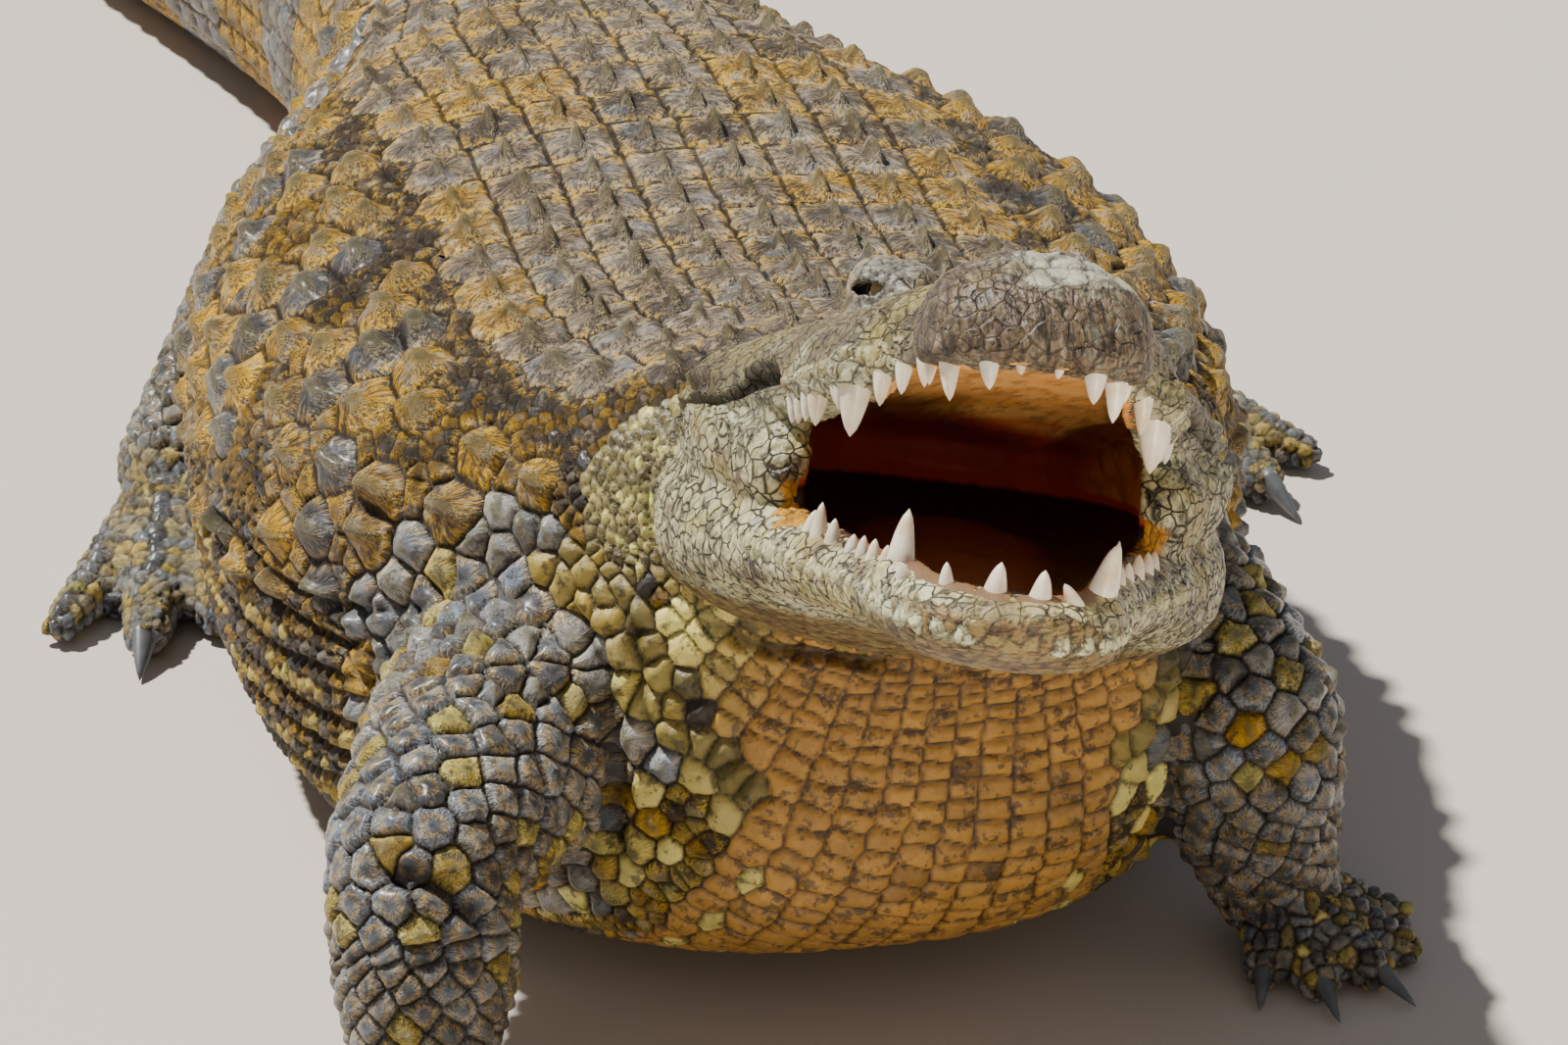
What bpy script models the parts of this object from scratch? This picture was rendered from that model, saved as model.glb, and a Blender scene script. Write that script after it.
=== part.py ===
# A Nile crocodile lying on its belly with the jaws open and the chest raised, a still life-size model.
# Metres, +Z up, the head toward -Y, the tail toward +Y.
import math

import bmesh
import bpy
import numpy as np
from mathutils import Matrix, Vector

# jaw joint, turn of the head and the two jaws
JAW_JOINT = Vector((0.075, 0.033, 0.420))
HEAD_YAW_UPPER = math.radians(-5.4)
HEAD_YAW_LOWER = math.radians(-7.6)
HEAD_ROLL = math.radians(8.5)
UPPER_PITCH = math.radians(31.6)
LOWER_PITCH = math.radians(17.0)

# meshing
VOXEL = 0.006
BODY_TRIANGLES = 2300
SLEEVE_TRIANGLES = 100
FLOOR_SNAP = 0.0015
SHAVING_VOLUME = 0.00005
RING_POINTS = 28
CUT_GAP = 0.0005
EYE_RADIUS = 0.0175
EYE_CLEARANCE = 0.0005
REGION_MARGIN = 0.015
ANKLE_RISE = 0.012

# distance ahead of the jaw joint, half width, height over the lip line, depth under it
UPPER_JAW = (
    (-0.060, 0.120, 0.050, 0.030),
    (-0.030, 0.166, 0.052, 0.020),
    (0.010, 0.180, 0.062, 0.016),
    (0.060, 0.182, 0.068, 0.014),
    (0.120, 0.172, 0.070, 0.016),
    (0.180, 0.152, 0.070, 0.026),
    (0.240, 0.136, 0.066, 0.032),
    (0.300, 0.124, 0.060, 0.030),
    (0.350, 0.114, 0.056, 0.024),
    (0.400, 0.108, 0.054, 0.028),
    (0.440, 0.092, 0.052, 0.018),
    (0.480, 0.069, 0.050, 0.006),
    (0.510, 0.071, 0.054, 0.010),
    (0.545, 0.074, 0.056, 0.016),
    (0.580, 0.062, 0.046, 0.014),
    (0.602, 0.042, 0.030, 0.008),
    (0.612, 0.018, 0.014, 0.002),
)
# distance ahead of the joint, half width, top and bottom of the lower jaw over its tooth line
LOWER_JAW = (
    (-0.060, 0.120, 0.010, -0.110),
    (-0.030, 0.165, 0.020, -0.130),
    (0.020, 0.186, 0.026, -0.135),
    (0.080, 0.190, 0.022, -0.128),
    (0.140, 0.182, 0.014, -0.115),
    (0.200, 0.165, 0.004, -0.098),
    (0.260, 0.144, 0.000, -0.082),
    (0.320, 0.124, 0.000, -0.070),
    (0.380, 0.105, 0.000, -0.062),
    (0.440, 0.089, 0.002, -0.056),
    (0.500, 0.080, 0.006, -0.053),
    (0.545, 0.073, 0.004, -0.050),
    (0.580, 0.058, 0.000, -0.042),
    (0.602, 0.038, -0.004, -0.030),
    (0.612, 0.016, -0.010, -0.020),
)
# distance ahead of the joint, half width above and below, palate height, floor depth
MOUTH = (
    (0.005, 0.040, 0.040, 0.010, -0.015),
    (0.030, 0.090, 0.085, 0.016, -0.030),
    (0.090, 0.116, 0.110, 0.020, -0.040),
    (0.160, 0.118, 0.118, 0.020, -0.042),
    (0.230, 0.108, 0.112, 0.018, -0.042),
    (0.300, 0.094, 0.096, 0.016, -0.038),
    (0.370, 0.082, 0.078, 0.014, -0.034),
    (0.430, 0.070, 0.064, 0.013, -0.030),
    (0.490, 0.051, 0.054, 0.012, -0.026),
    (0.540, 0.050, 0.046, 0.010, -0.020),
    (0.572, 0.034, 0.030, 0.006, -0.012),
    (0.586, 0.012, 0.010, 0.001, -0.006),
)
# x, y, z of the section centre, pitch in degrees, half width, height, depth, squareness above and below
TRUNK = (
    (0.075, -0.010, 0.430, 26.0, 0.120, 0.050, 0.080, 2.3, 2.3),
    (0.070, 0.040, 0.405, 28.0, 0.178, 0.095, 0.180, 2.3, 2.3),
    (0.052, 0.095, 0.362, 33.0, 0.214, 0.125, 0.262, 2.4, 2.5),
    (0.030, 0.150, 0.315, 30.0, 0.254, 0.145, 0.292, 2.4, 2.8),
    (0.016, 0.215, 0.285, 20.0, 0.304, 0.158, 0.283, 2.4, 3.6),
    (0.006, 0.300, 0.258, 11.0, 0.342, 0.172, 0.258, 2.4, 4.2),
    (0.002, 0.400, 0.237, 5.0, 0.366, 0.186, 0.242, 2.4, 4.0),
    (0.000, 0.520, 0.222, 1.0, 0.374, 0.200, 0.226, 2.35, 3.3),
    (-0.006, 0.650, 0.214, 0.0, 0.356, 0.206, 0.218, 2.35, 2.9),
    (-0.016, 0.770, 0.208, 0.0, 0.314, 0.204, 0.212, 2.3, 2.6),
    (-0.022, 0.880, 0.200, 0.0, 0.254, 0.198, 0.204, 2.3, 2.5),
    (-0.018, 0.980, 0.192, 0.0, 0.214, 0.190, 0.195, 2.25, 2.4),
    (-0.010, 1.080, 0.182, 0.0, 0.200, 0.178, 0.185, 2.2, 2.3),
    (-0.004, 1.200, 0.168, 0.0, 0.186, 0.162, 0.170, 2.2, 2.2),
    (-0.015, 1.330, 0.155, 0.0, 0.163, 0.150, 0.156, 2.2, 2.2),
)
# x, y of the tail's middle line, half width, half height
TAIL = (
    (-0.004, 1.200, 0.186, 0.166),
    (-0.015, 1.330, 0.163, 0.153),
    (-0.040, 1.460, 0.143, 0.141),
    (-0.078, 1.590, 0.124, 0.131),
    (-0.138, 1.740, 0.107, 0.121),
    (-0.212, 1.900, 0.090, 0.111),
    (-0.288, 2.070, 0.074, 0.100),
    (-0.350, 2.250, 0.058, 0.088),
    (-0.385, 2.430, 0.045, 0.075),
    (-0.392, 2.610, 0.033, 0.061),
    (-0.370, 2.780, 0.024, 0.046),
    (-0.322, 2.930, 0.015, 0.031),
    (-0.264, 3.040, 0.009, 0.018),
)
# joints of each leg from the body outward and their radii
LEGS = {
    "front_right": (
        ((-0.140, 0.200, 0.205), 0.110),
        ((-0.218, 0.090, 0.200), 0.092),
        ((-0.288, -0.030, 0.185), 0.068),
        ((-0.298, -0.070, 0.120), 0.063),
        ((-0.304, -0.092, 0.056), 0.048),
    ),
    "front_left": (
        ((0.160, 0.220, 0.208), 0.120),
        ((0.242, 0.140, 0.203), 0.100),
        ((0.290, 0.050, 0.185), 0.070),
        ((0.303, 0.050, 0.115), 0.060),
        ((0.320, 0.064, 0.055), 0.046),
    ),
    "hind_right": (
        ((-0.095, 1.120, 0.178), 0.118),
        ((-0.148, 1.050, 0.182), 0.098),
        ((-0.226, 0.970, 0.172), 0.072),
        ((-0.294, 0.905, 0.108), 0.056),
        ((-0.350, 0.850, 0.055), 0.044),
    ),
    "hind_left": (
        ((0.095, 1.120, 0.178), 0.118),
        ((0.152, 1.060, 0.180), 0.098),
        ((0.254, 0.995, 0.160), 0.072),
        ((0.346, 0.940, 0.104), 0.056),
        ((0.415, 0.892, 0.055), 0.044),
    ),
}
# toe tips on the floor from the inner toe outward, with the base of each toe's radius
TOES = {
    "front_right": (
        ((-0.236, -0.165), 0.015),
        ((-0.262, -0.215), 0.017),
        ((-0.315, -0.236), 0.017),
        ((-0.368, -0.212), 0.015),
        ((-0.400, -0.155), 0.014),
    ),
    "front_left": (
        ((0.296, -0.010), 0.015),
        ((0.334, -0.036), 0.017),
        ((0.380, -0.028), 0.017),
        ((0.412, 0.006), 0.015),
        ((0.420, 0.060), 0.014),
    ),
    "hind_right": (
        ((-0.290, 0.690), 0.019),
        ((-0.338, 0.652), 0.021),
        ((-0.402, 0.632), 0.021),
        ((-0.464, 0.670), 0.017),
    ),
    "hind_left": (
        ((0.362, 0.745), 0.019),
        ((0.425, 0.712), 0.021),
        ((0.486, 0.724), 0.021),
        ((0.535, 0.778), 0.017),
    ),
}
CLAWED = {"front": (0, 1, 2), "hind": (0, 1, 2)}
FOOT_LENGTHS = {"front": 0.030, "hind": 0.034}

# lines of the cuts beside the head: distance ahead of the joint and height, in the head's middle plane
NECK_CUT = (
    (-0.050, 0.265),
    (-0.062, 0.090),
    (-0.062, -0.050),
    (-0.045, -0.090),
    (-0.005, -0.112),
    (0.046, -0.125),
    (0.076, -0.155),
    (0.151, -0.233),
)
JAW_CUT = ((-0.062, 0.000), (0.300, 0.000), (0.700, 0.000))
# flat cuts through the rest of the body: a point and the way the cut faces
BODY_CUTS = (
    ((0.0, 0.170, 0.300), (0.0, 0.860, -0.510)),
    ((-0.012, 1.220, 0.150), (-0.180, 1.0, 0.0)),
    ((-0.190, 1.740, 0.120), (-0.450, 1.0, 0.0)),
    ((-0.372, 2.150, 0.090), (-0.360, 1.0, 0.0)),
    ((-0.443, 2.560, 0.060), (0.0, 1.0, 0.0)),
)

# tooth: distance ahead of the joint, distance from the middle, length, radius
UPPER_TEETH = (
    (0.262, 0.116, 0.020, 0.0065),
    (0.282, 0.112, 0.022, 0.0070),
    (0.303, 0.107, 0.028, 0.0085),
    (0.324, 0.102, 0.016, 0.0060),
    (0.345, 0.097, 0.024, 0.0070),
    (0.372, 0.094, 0.042, 0.0115),
    (0.400, 0.091, 0.026, 0.0075),
    (0.424, 0.080, 0.022, 0.0065),
    (0.446, 0.068, 0.020, 0.0060),
    (0.500, 0.056, 0.022, 0.0060),
    (0.528, 0.059, 0.034, 0.0085),
    (0.556, 0.053, 0.026, 0.0075),
    (0.580, 0.037, 0.018, 0.0060),
    (0.592, 0.016, 0.014, 0.0050),
)
LOWER_TEETH = (
    (0.255, 0.124, 0.018, 0.0060),
    (0.280, 0.116, 0.022, 0.0065),
    (0.306, 0.108, 0.024, 0.0070),
    (0.332, 0.100, 0.018, 0.0060),
    (0.358, 0.092, 0.018, 0.0060),
    (0.384, 0.084, 0.022, 0.0065),
    (0.412, 0.078, 0.016, 0.0055),
    (0.438, 0.073, 0.018, 0.0055),
    (0.466, 0.068, 0.018, 0.0060),
    (0.502, 0.064, 0.042, 0.0105),
    (0.535, 0.058, 0.018, 0.0060),
    (0.562, 0.044, 0.024, 0.0070),
    (0.582, 0.022, 0.030, 0.0080),
)

# tongue: distance ahead of the joint, half width, height over the lower jaw's tooth line
TONGUE = (
    (0.090, 0.040, -0.040),
    (0.130, 0.062, -0.040),
    (0.200, 0.068, -0.040),
    (0.280, 0.060, -0.037),
    (0.340, 0.050, -0.034),
    (0.390, 0.036, -0.031),
    (0.420, 0.016, -0.029),
)
# tail scutes: distance along the tail, length, tail piece, offset as a share of the half width, height
CREST = tuple(
    [(0.045 + 0.062 * n, 0.056, "tail_base", 0.62 - 0.025 * n, 0.022 + 0.0016 * n) for n in range(8)]
    + [(0.590 + 0.058 * n, 0.052, "tail_middle", 0.42 - 0.03 * n, 0.038) for n in range(7)]
    + [(1.050 + 0.052 * n, 0.047, "tail_rear", 0.0, 0.048 - 0.001 * n) for n in range(7)]
    + [(1.452 + 0.046 * n, 0.042, "tail_tip", 0.0, 0.040 - 0.0035 * n) for n in range(9)]
)

# node name: a point near its middle, and its colour
NODES = {
    "head": ((0.050, -0.190, 0.590), "jaw_skin"),
    "lower_jaw": ((0.040, -0.230, 0.450), "jaw_skin"),
    "neck": ((0.060, 0.070, 0.340), "throat_skin"),
    "trunk": ((0.000, 0.640, 0.205), "back_skin"),
    "tail_base": ((-0.120, 1.490, 0.140), "tail_skin"),
    "tail_middle": ((-0.290, 1.930, 0.110), "tail_skin"),
    "tail_rear": ((-0.430, 2.350, 0.080), "tail_skin"),
    "tail_tip": ((-0.400, 2.800, 0.050), "tail_skin"),
    "front_right_upper": ((-0.235, 0.060, 0.200), "leg_skin"),
    "front_right_lower": ((-0.306, -0.078, 0.105), "leg_skin"),
    "front_right_foot": ((-0.310, -0.150, 0.030), "leg_skin"),
    "front_left_upper": ((0.240, 0.110, 0.200), "leg_skin"),
    "front_left_lower": ((0.300, 0.030, 0.105), "leg_skin"),
    "front_left_foot": ((0.345, -0.020, 0.030), "leg_skin"),
    "hind_right_upper": ((-0.180, 1.040, 0.185), "leg_skin"),
    "hind_right_lower": ((-0.310, 0.890, 0.100), "leg_skin"),
    "hind_right_foot": ((-0.370, 0.750, 0.030), "leg_skin"),
    "hind_left_upper": ((0.190, 1.050, 0.180), "leg_skin"),
    "hind_left_lower": ((0.360, 0.930, 0.100), "leg_skin"),
    "hind_left_foot": ((0.450, 0.810, 0.030), "leg_skin"),
}
COLOURS = {
    "jaw_skin": (0.300, 0.300, 0.210),
    "throat_skin": (0.640, 0.560, 0.300),
    "back_skin": (0.270, 0.210, 0.110),
    "tail_skin": (0.330, 0.260, 0.110),
    "leg_skin": (0.150, 0.160, 0.150),
    "tongue_flesh": (0.620, 0.330, 0.200),
    "eye_gloss": (0.160, 0.130, 0.040),
}


def clear_scene():
    for obj in list(bpy.data.objects):
        bpy.data.objects.remove(obj, do_unlink=True)


def jaw_frame(yaw, pitch):
    forward = Vector((math.sin(yaw) * math.cos(pitch), -math.cos(yaw) * math.cos(pitch), math.sin(pitch)))
    left = Vector((math.cos(yaw), math.sin(yaw), 0.0))
    up = forward.cross(left)
    rolled_left = left * math.cos(HEAD_ROLL) - up * math.sin(HEAD_ROLL)
    rolled_up = left * math.sin(HEAD_ROLL) + up * math.cos(HEAD_ROLL)
    return forward, rolled_left, rolled_up


UPPER_FRAME = jaw_frame(HEAD_YAW_UPPER, UPPER_PITCH)
LOWER_FRAME = jaw_frame(HEAD_YAW_LOWER, LOWER_PITCH)
MIDDLE_FRAME = jaw_frame((HEAD_YAW_UPPER + HEAD_YAW_LOWER) / 2.0, (UPPER_PITCH + LOWER_PITCH) / 2.0)


def jaw_point(frame, ahead, side, height):
    forward, left, up = frame
    return JAW_JOINT + forward * ahead + left * side + up * height


def signed_power(value, power):
    return math.copysign(abs(value) ** power, value)


def section(centre, side, up, half_width, height, depth, squareness, points=RING_POINTS, under=None):
    """A closed ring of points: a rounded box whose top and bottom may differ."""
    ring = []
    for index in range(points):
        angle = 2.0 * math.pi * index / points
        above = math.sin(angle) > 0.0
        power = 2.0 / (squareness if above or under is None else under)
        across = half_width * signed_power(math.cos(angle), power)
        over = (height if above else depth) * signed_power(math.sin(angle), power)
        ring.append(centre + side * across + up * over)
    return ring


def mesh_from_rings(name, rings):
    builder = bmesh.new()
    layers = [[builder.verts.new(point) for point in ring] for ring in rings]
    count = len(layers[0])
    for lower, upper in zip(layers[:-1], layers[1:]):
        for index in range(count):
            after = (index + 1) % count
            builder.faces.new((lower[index], lower[after], upper[after], upper[index]))
    builder.faces.new(list(reversed(layers[0])))
    builder.faces.new(layers[-1])
    bmesh.ops.recalc_face_normals(builder, faces=builder.faces)
    mesh = bpy.data.meshes.new(name)
    builder.to_mesh(mesh)
    builder.free()
    obj = bpy.data.objects.new(name, mesh)
    bpy.context.scene.collection.objects.link(obj)
    return obj


def ball(name, centre, axes, radii, fineness=3):
    builder = bmesh.new()
    bmesh.ops.create_icosphere(builder, subdivisions=fineness, radius=1.0)
    basis = Matrix((axes[0] * radii[0], axes[1] * radii[1], axes[2] * radii[2])).transposed().to_4x4()
    bmesh.ops.transform(builder, matrix=Matrix.Translation(centre) @ basis, verts=builder.verts)
    bmesh.ops.recalc_face_normals(builder, faces=builder.faces)
    mesh = bpy.data.meshes.new(name)
    builder.to_mesh(mesh)
    builder.free()
    obj = bpy.data.objects.new(name, mesh)
    bpy.context.scene.collection.objects.link(obj)
    return obj


def tube(name, path, squareness=2.0):
    """A round tube along points with a half width, height and depth at each."""
    rings = []
    for index, (point, half_width, height, depth) in enumerate(path):
        before = path[max(index - 1, 0)][0]
        after = path[min(index + 1, len(path) - 1)][0]
        forward = (after - before).normalized()
        side = forward.cross(Vector((0.0, 0.0, 1.0)))
        if side.length < 0.2:
            side = Vector((1.0, 0.0, 0.0))
        side.normalize()
        up = side.cross(forward).normalized()
        rings.append(section(point, side, up, half_width, height, depth, squareness, 16))
    return mesh_from_rings(name, rings)


def upper_jaw_body():
    _, left, up = UPPER_FRAME
    rings = []
    for ahead, half_width, height, depth in UPPER_JAW:
        centre = jaw_point(UPPER_FRAME, ahead, 0.0, 0.0)
        rings.append(section(centre, left, up, half_width, height, depth, 2.5))
    parts = [mesh_from_rings("upper_jaw", rings)]
    table = []
    for ahead, half_width, top in ((-0.030, 0.050, 0.066), (-0.016, 0.070, 0.090), (0.060, 0.068, 0.094),
                                   (0.130, 0.060, 0.092), (0.150, 0.046, 0.076)):
        centre = jaw_point(UPPER_FRAME, ahead, 0.0, 0.045)
        table.append(section(centre, left, up, half_width, top - 0.045, 0.030, 4.0))
    parts.append(mesh_from_rings("skull_table", table))
    for side in (-1.0, 1.0):
        brow = jaw_point(UPPER_FRAME, 0.176, side * 0.047, 0.070)
        parts.append(ball("brow", brow, UPPER_FRAME, (0.046, 0.026, 0.032)))
        nostril = jaw_point(UPPER_FRAME, 0.548, side * 0.013, 0.050)
        parts.append(ball("nostril", nostril, UPPER_FRAME, (0.034, 0.020, 0.020)))
    return parts


def lower_jaw_body():
    _, left, up = LOWER_FRAME
    rings = []
    for ahead, half_width, top, bottom in LOWER_JAW:
        middle = 0.5 * (top + bottom)
        centre = jaw_point(LOWER_FRAME, ahead, 0.0, middle)
        rings.append(section(centre, left, up, half_width, top - middle, middle - bottom, 2.5))
    parts = [mesh_from_rings("jaw", rings)]
    for side in (-1.0, 1.0):
        cheek = jaw_point(LOWER_FRAME, 0.085, side * 0.138, 0.016)
        parts.append(ball("cheek", cheek, LOWER_FRAME, (0.125, 0.046, 0.050)))
    return parts


def mouth_cavity():
    rings = []
    half = RING_POINTS // 2
    for ahead, above, below, palate, floor in MOUTH:
        ring = []
        for index in range(half):
            angle = math.pi * index / (half - 1)
            across = above * signed_power(math.cos(angle), 0.7)
            ring.append(jaw_point(UPPER_FRAME, ahead, across, palate * abs(math.sin(angle)) ** 0.6 - 0.003))
        for index in range(half):
            angle = math.pi + math.pi * index / (half - 1)
            across = below * signed_power(math.cos(angle), 0.7)
            drop = abs(floor) * abs(math.sin(angle)) ** 0.6
            ring.append(jaw_point(LOWER_FRAME, ahead, across, 0.003 - drop))
        rings.append(ring)
    return mesh_from_rings("mouth_cavity", rings)


def trunk_body():
    rings = []
    side = Vector((1.0, 0.0, 0.0))
    for x, y, z, pitch, half_width, height, depth, squareness, lower in TRUNK:
        angle = math.radians(pitch)
        up = Vector((0.0, math.sin(angle), math.cos(angle)))
        rings.append(section(Vector((x, y, z)), side, up, half_width, height, depth, squareness, 36, lower))
    return mesh_from_rings("trunk_body", rings)


def tail_body():
    path = [(Vector((x, y, high * 0.985)), wide, high, high) for x, y, wide, high in TAIL]
    return tube("tail_body", path, 2.15)


def leg_body(name):
    path = [(Vector(point), radius, radius, radius) for point, radius in LEGS[name]]
    parts = [tube("leg", path)]
    for point, radius in LEGS[name][1:]:
        axes = (Vector((1.0, 0.0, 0.0)), Vector((0.0, 1.0, 0.0)), Vector((0.0, 0.0, 1.0)))
        parts.append(ball("joint", Vector(point), axes, (radius, radius, radius)))
    return parts


def toe_path(name, index):
    (tip_x, tip_y), radius = TOES[name][index]
    wrist = Vector(LEGS[name][-1][0])
    tip = Vector((tip_x, tip_y, radius * 0.9))
    middle = wrist.lerp(tip, 0.55)
    middle.z = 0.030
    near_tip = wrist.lerp(tip, 0.84)
    near_tip.z = radius * 1.05
    base = wrist.lerp(tip, 0.10)
    base.z = 0.042
    return base, middle, near_tip, tip


def foot_body(name):
    parts = []
    tips = TOES[name]
    for index, (_, radius) in enumerate(tips):
        base, middle, near_tip, tip = toe_path(name, index)
        path = [
            (base, radius * 1.5, 0.030, 0.042),
            (middle, radius * 1.15, radius * 1.05, 0.030),
            (near_tip, radius, radius * 0.95, radius * 1.05),
            (tip, radius * 0.72, radius * 0.62, radius * 0.9),
        ]
        parts.append(tube("toe", path))
    web = 0.74 if name.startswith("hind") else 0.52
    for index in range(len(tips) - 1):
        first = toe_path(name, index)
        second = toe_path(name, index + 1)
        wrist = Vector(LEGS[name][-1][0])
        end = wrist.lerp((first[3] + second[3]) / 2.0, web)
        end.z = 0.009
        start = (first[0] + second[0]) / 2.0
        start.z = 0.020
        width = (first[3] - second[3]).length * 0.42
        path = [
            (start, 0.030, 0.022, 0.020),
            (start.lerp(end, 0.6), width * 0.8, 0.013, 0.015),
            (end, width, 0.008, 0.010),
        ]
        parts.append(tube("web", path))
    return parts


def apply_modifiers(obj):
    bpy.context.view_layer.update()
    graph = bpy.context.evaluated_depsgraph_get()
    mesh = bpy.data.meshes.new_from_object(obj.evaluated_get(graph))
    old = obj.data
    obj.modifiers.clear()
    obj.data = mesh
    bpy.data.meshes.remove(old)


def boolean(obj, cutter, operation):
    change = obj.modifiers.new("cut", "BOOLEAN")
    change.operation = operation
    change.solver = "EXACT"
    change.object = cutter
    apply_modifiers(obj)
    bpy.data.objects.remove(cutter, do_unlink=True)


def joined(parts, name):
    builder = bmesh.new()
    for part in parts:
        builder.from_mesh(part.data)
        bpy.data.objects.remove(part, do_unlink=True)
    mesh = bpy.data.meshes.new(name)
    builder.to_mesh(mesh)
    builder.free()
    obj = bpy.data.objects.new(name, mesh)
    bpy.context.scene.collection.objects.link(obj)
    return obj


def remeshed(obj, voxel, smoothing):
    change = obj.modifiers.new("remesh", "REMESH")
    change.mode = "VOXEL"
    change.voxel_size = voxel
    relax = obj.modifiers.new("relax", "SMOOTH")
    relax.factor = 0.5
    relax.iterations = smoothing
    apply_modifiers(obj)


def flatten_on_floor(obj):
    for vertex in obj.data.vertices:
        if vertex.co.z < FLOOR_SNAP:
            vertex.co.z = 0.0


def triangulated(obj):
    change = obj.modifiers.new("triangles", "TRIANGULATE")
    change.quad_method = "BEAUTY"
    apply_modifiers(obj)


def reduced(obj, triangles):
    triangulated(obj)
    change = obj.modifiers.new("reduce", "DECIMATE")
    change.ratio = triangles / len(obj.data.polygons)
    apply_modifiers(obj)


def whole_body():
    parts = upper_jaw_body() + lower_jaw_body() + [trunk_body(), tail_body()]
    for name in LEGS:
        parts += leg_body(name) + foot_body(name)
    body = joined(parts, "body")
    remeshed(body, VOXEL, 6)
    boolean(body, mouth_cavity(), "DIFFERENCE")
    remeshed(body, VOXEL, 2)
    flatten_on_floor(body)
    reduced(body, BODY_TRIANGLES)
    flatten_on_floor(body)
    return body


def leg_region(name):
    """A closed sleeve a little wider than the leg, from inside the body to the ankle or wrist."""
    joints = [(Vector(point), radius + REGION_MARGIN) for point, radius in LEGS[name]]
    last = (joints[-1][0] - joints[-2][0]).normalized()
    joints[-1] = (joints[-1][0] - last * ANKLE_RISE, joints[-1][1])
    axes = (Vector((1.0, 0.0, 0.0)), Vector((0.0, 1.0, 0.0)), Vector((0.0, 0.0, 1.0)))
    parts = [ball("joint", point, axes, (radius, radius, radius)) for point, radius in joints[:4]]
    for pair in zip(joints[:-1], joints[1:]):
        parts.append(tube("sleeve", [(point, radius, radius, radius) for point, radius in pair]))
    sleeve = joined(parts, "sleeve")
    remeshed(sleeve, 0.010, 4)
    reduced(sleeve, SLEEVE_TRIANGLES)
    return sleeve


def grown(obj, distance):
    """A copy of a closed piece with every point moved out along its normal."""
    copy = duplicate(obj)
    change = copy.modifiers.new("grow", "DISPLACE")
    change.strength = distance
    change.mid_level = 0.0
    apply_modifiers(copy)
    return copy


def duplicate(obj):
    copy = bpy.data.objects.new(obj.name, obj.data.copy())
    bpy.context.scene.collection.objects.link(copy)
    return copy


def plate(centre, normal, size):
    """A thin square plate through a point, facing along the normal."""
    normal = Vector(normal).normalized()
    across = normal.cross(Vector((0.0, 0.0, 1.0)))
    if across.length < 0.2:
        across = Vector((1.0, 0.0, 0.0))
    across = (across - normal * across.dot(normal)).normalized()
    up = normal.cross(across)
    builder = bmesh.new()
    bmesh.ops.create_cube(builder, size=1.0)
    basis = Matrix((across * size, up * size, normal * CUT_GAP)).transposed().to_4x4()
    bmesh.ops.transform(builder, matrix=Matrix.Translation(Vector(centre)) @ basis, verts=builder.verts)
    bmesh.ops.recalc_face_normals(builder, faces=builder.faces)
    mesh = bpy.data.meshes.new("plate")
    builder.to_mesh(mesh)
    builder.free()
    obj = bpy.data.objects.new("plate", mesh)
    bpy.context.scene.collection.objects.link(obj)
    return obj


def separated(obj):
    """Splits the cut body into its loose pieces, without the cut's tiny shavings."""
    builder = bmesh.new()
    builder.from_mesh(obj.data)
    builder.verts.ensure_lookup_table()
    left = set(builder.verts)
    groups = []
    while left:
        seed = next(vertex for vertex in builder.verts if vertex in left)
        group = {seed}
        front = [seed]
        while front:
            vertex = front.pop()
            for edge in vertex.link_edges:
                other = edge.other_vert(vertex)
                if other not in group:
                    group.add(other)
                    front.append(other)
        left -= group
        groups.append(group)
    pieces = []
    for group in groups:
        copy = builder.copy()
        copy.verts.ensure_lookup_table()
        keep = {vertex.index for vertex in group}
        bmesh.ops.delete(copy, geom=[v for v in copy.verts if v.index not in keep], context="VERTS")
        if copy.calc_volume() < SHAVING_VOLUME:
            copy.free()
            continue
        mesh = bpy.data.meshes.new("piece")
        copy.to_mesh(mesh)
        copy.free()
        piece = bpy.data.objects.new("piece", mesh)
        bpy.context.scene.collection.objects.link(piece)
        pieces.append(piece)
    builder.free()
    bpy.data.objects.remove(obj, do_unlink=True)
    return pieces


def bent_cut(path, half_width):
    """A thin bent plate: a line of (ahead, height) points in the head drawn out sideways."""
    line = [Vector((ahead, height)) for ahead, height in path]
    near = []
    far = []
    for index, point in enumerate(line):
        before = line[max(index - 1, 0)]
        after = line[min(index + 1, len(line) - 1)]
        along = (after - before).normalized()
        off = Vector((-along.y, along.x)) * (CUT_GAP / 2.0)
        near.append(point + off)
        far.append(point - off)
    outline = near + list(reversed(far))
    rings = []
    for side in (-half_width, half_width):
        rings.append([jaw_point(MIDDLE_FRAME, point.x, side, point.y) for point in outline])
    return mesh_from_rings("bent_cut", rings)


def cut_legs(body):
    """Takes each leg down to the ankle off the body and cuts it at the elbow or knee."""
    pieces = []
    for name, joints in LEGS.items():
        leg = duplicate(body)
        sleeve = leg_region(name)
        boolean(body, grown(sleeve, CUT_GAP), "DIFFERENCE")
        boolean(leg, sleeve, "INTERSECT")
        above, bend, below = (Vector(joints[index][0]) for index in (1, 2, 3))
        facing = ((bend - above).normalized() + (below - bend).normalized()).normalized()
        boolean(leg, plate(bend + facing * 0.012, facing, 0.30), "DIFFERENCE")
        pieces += separated(leg)
    return pieces


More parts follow.
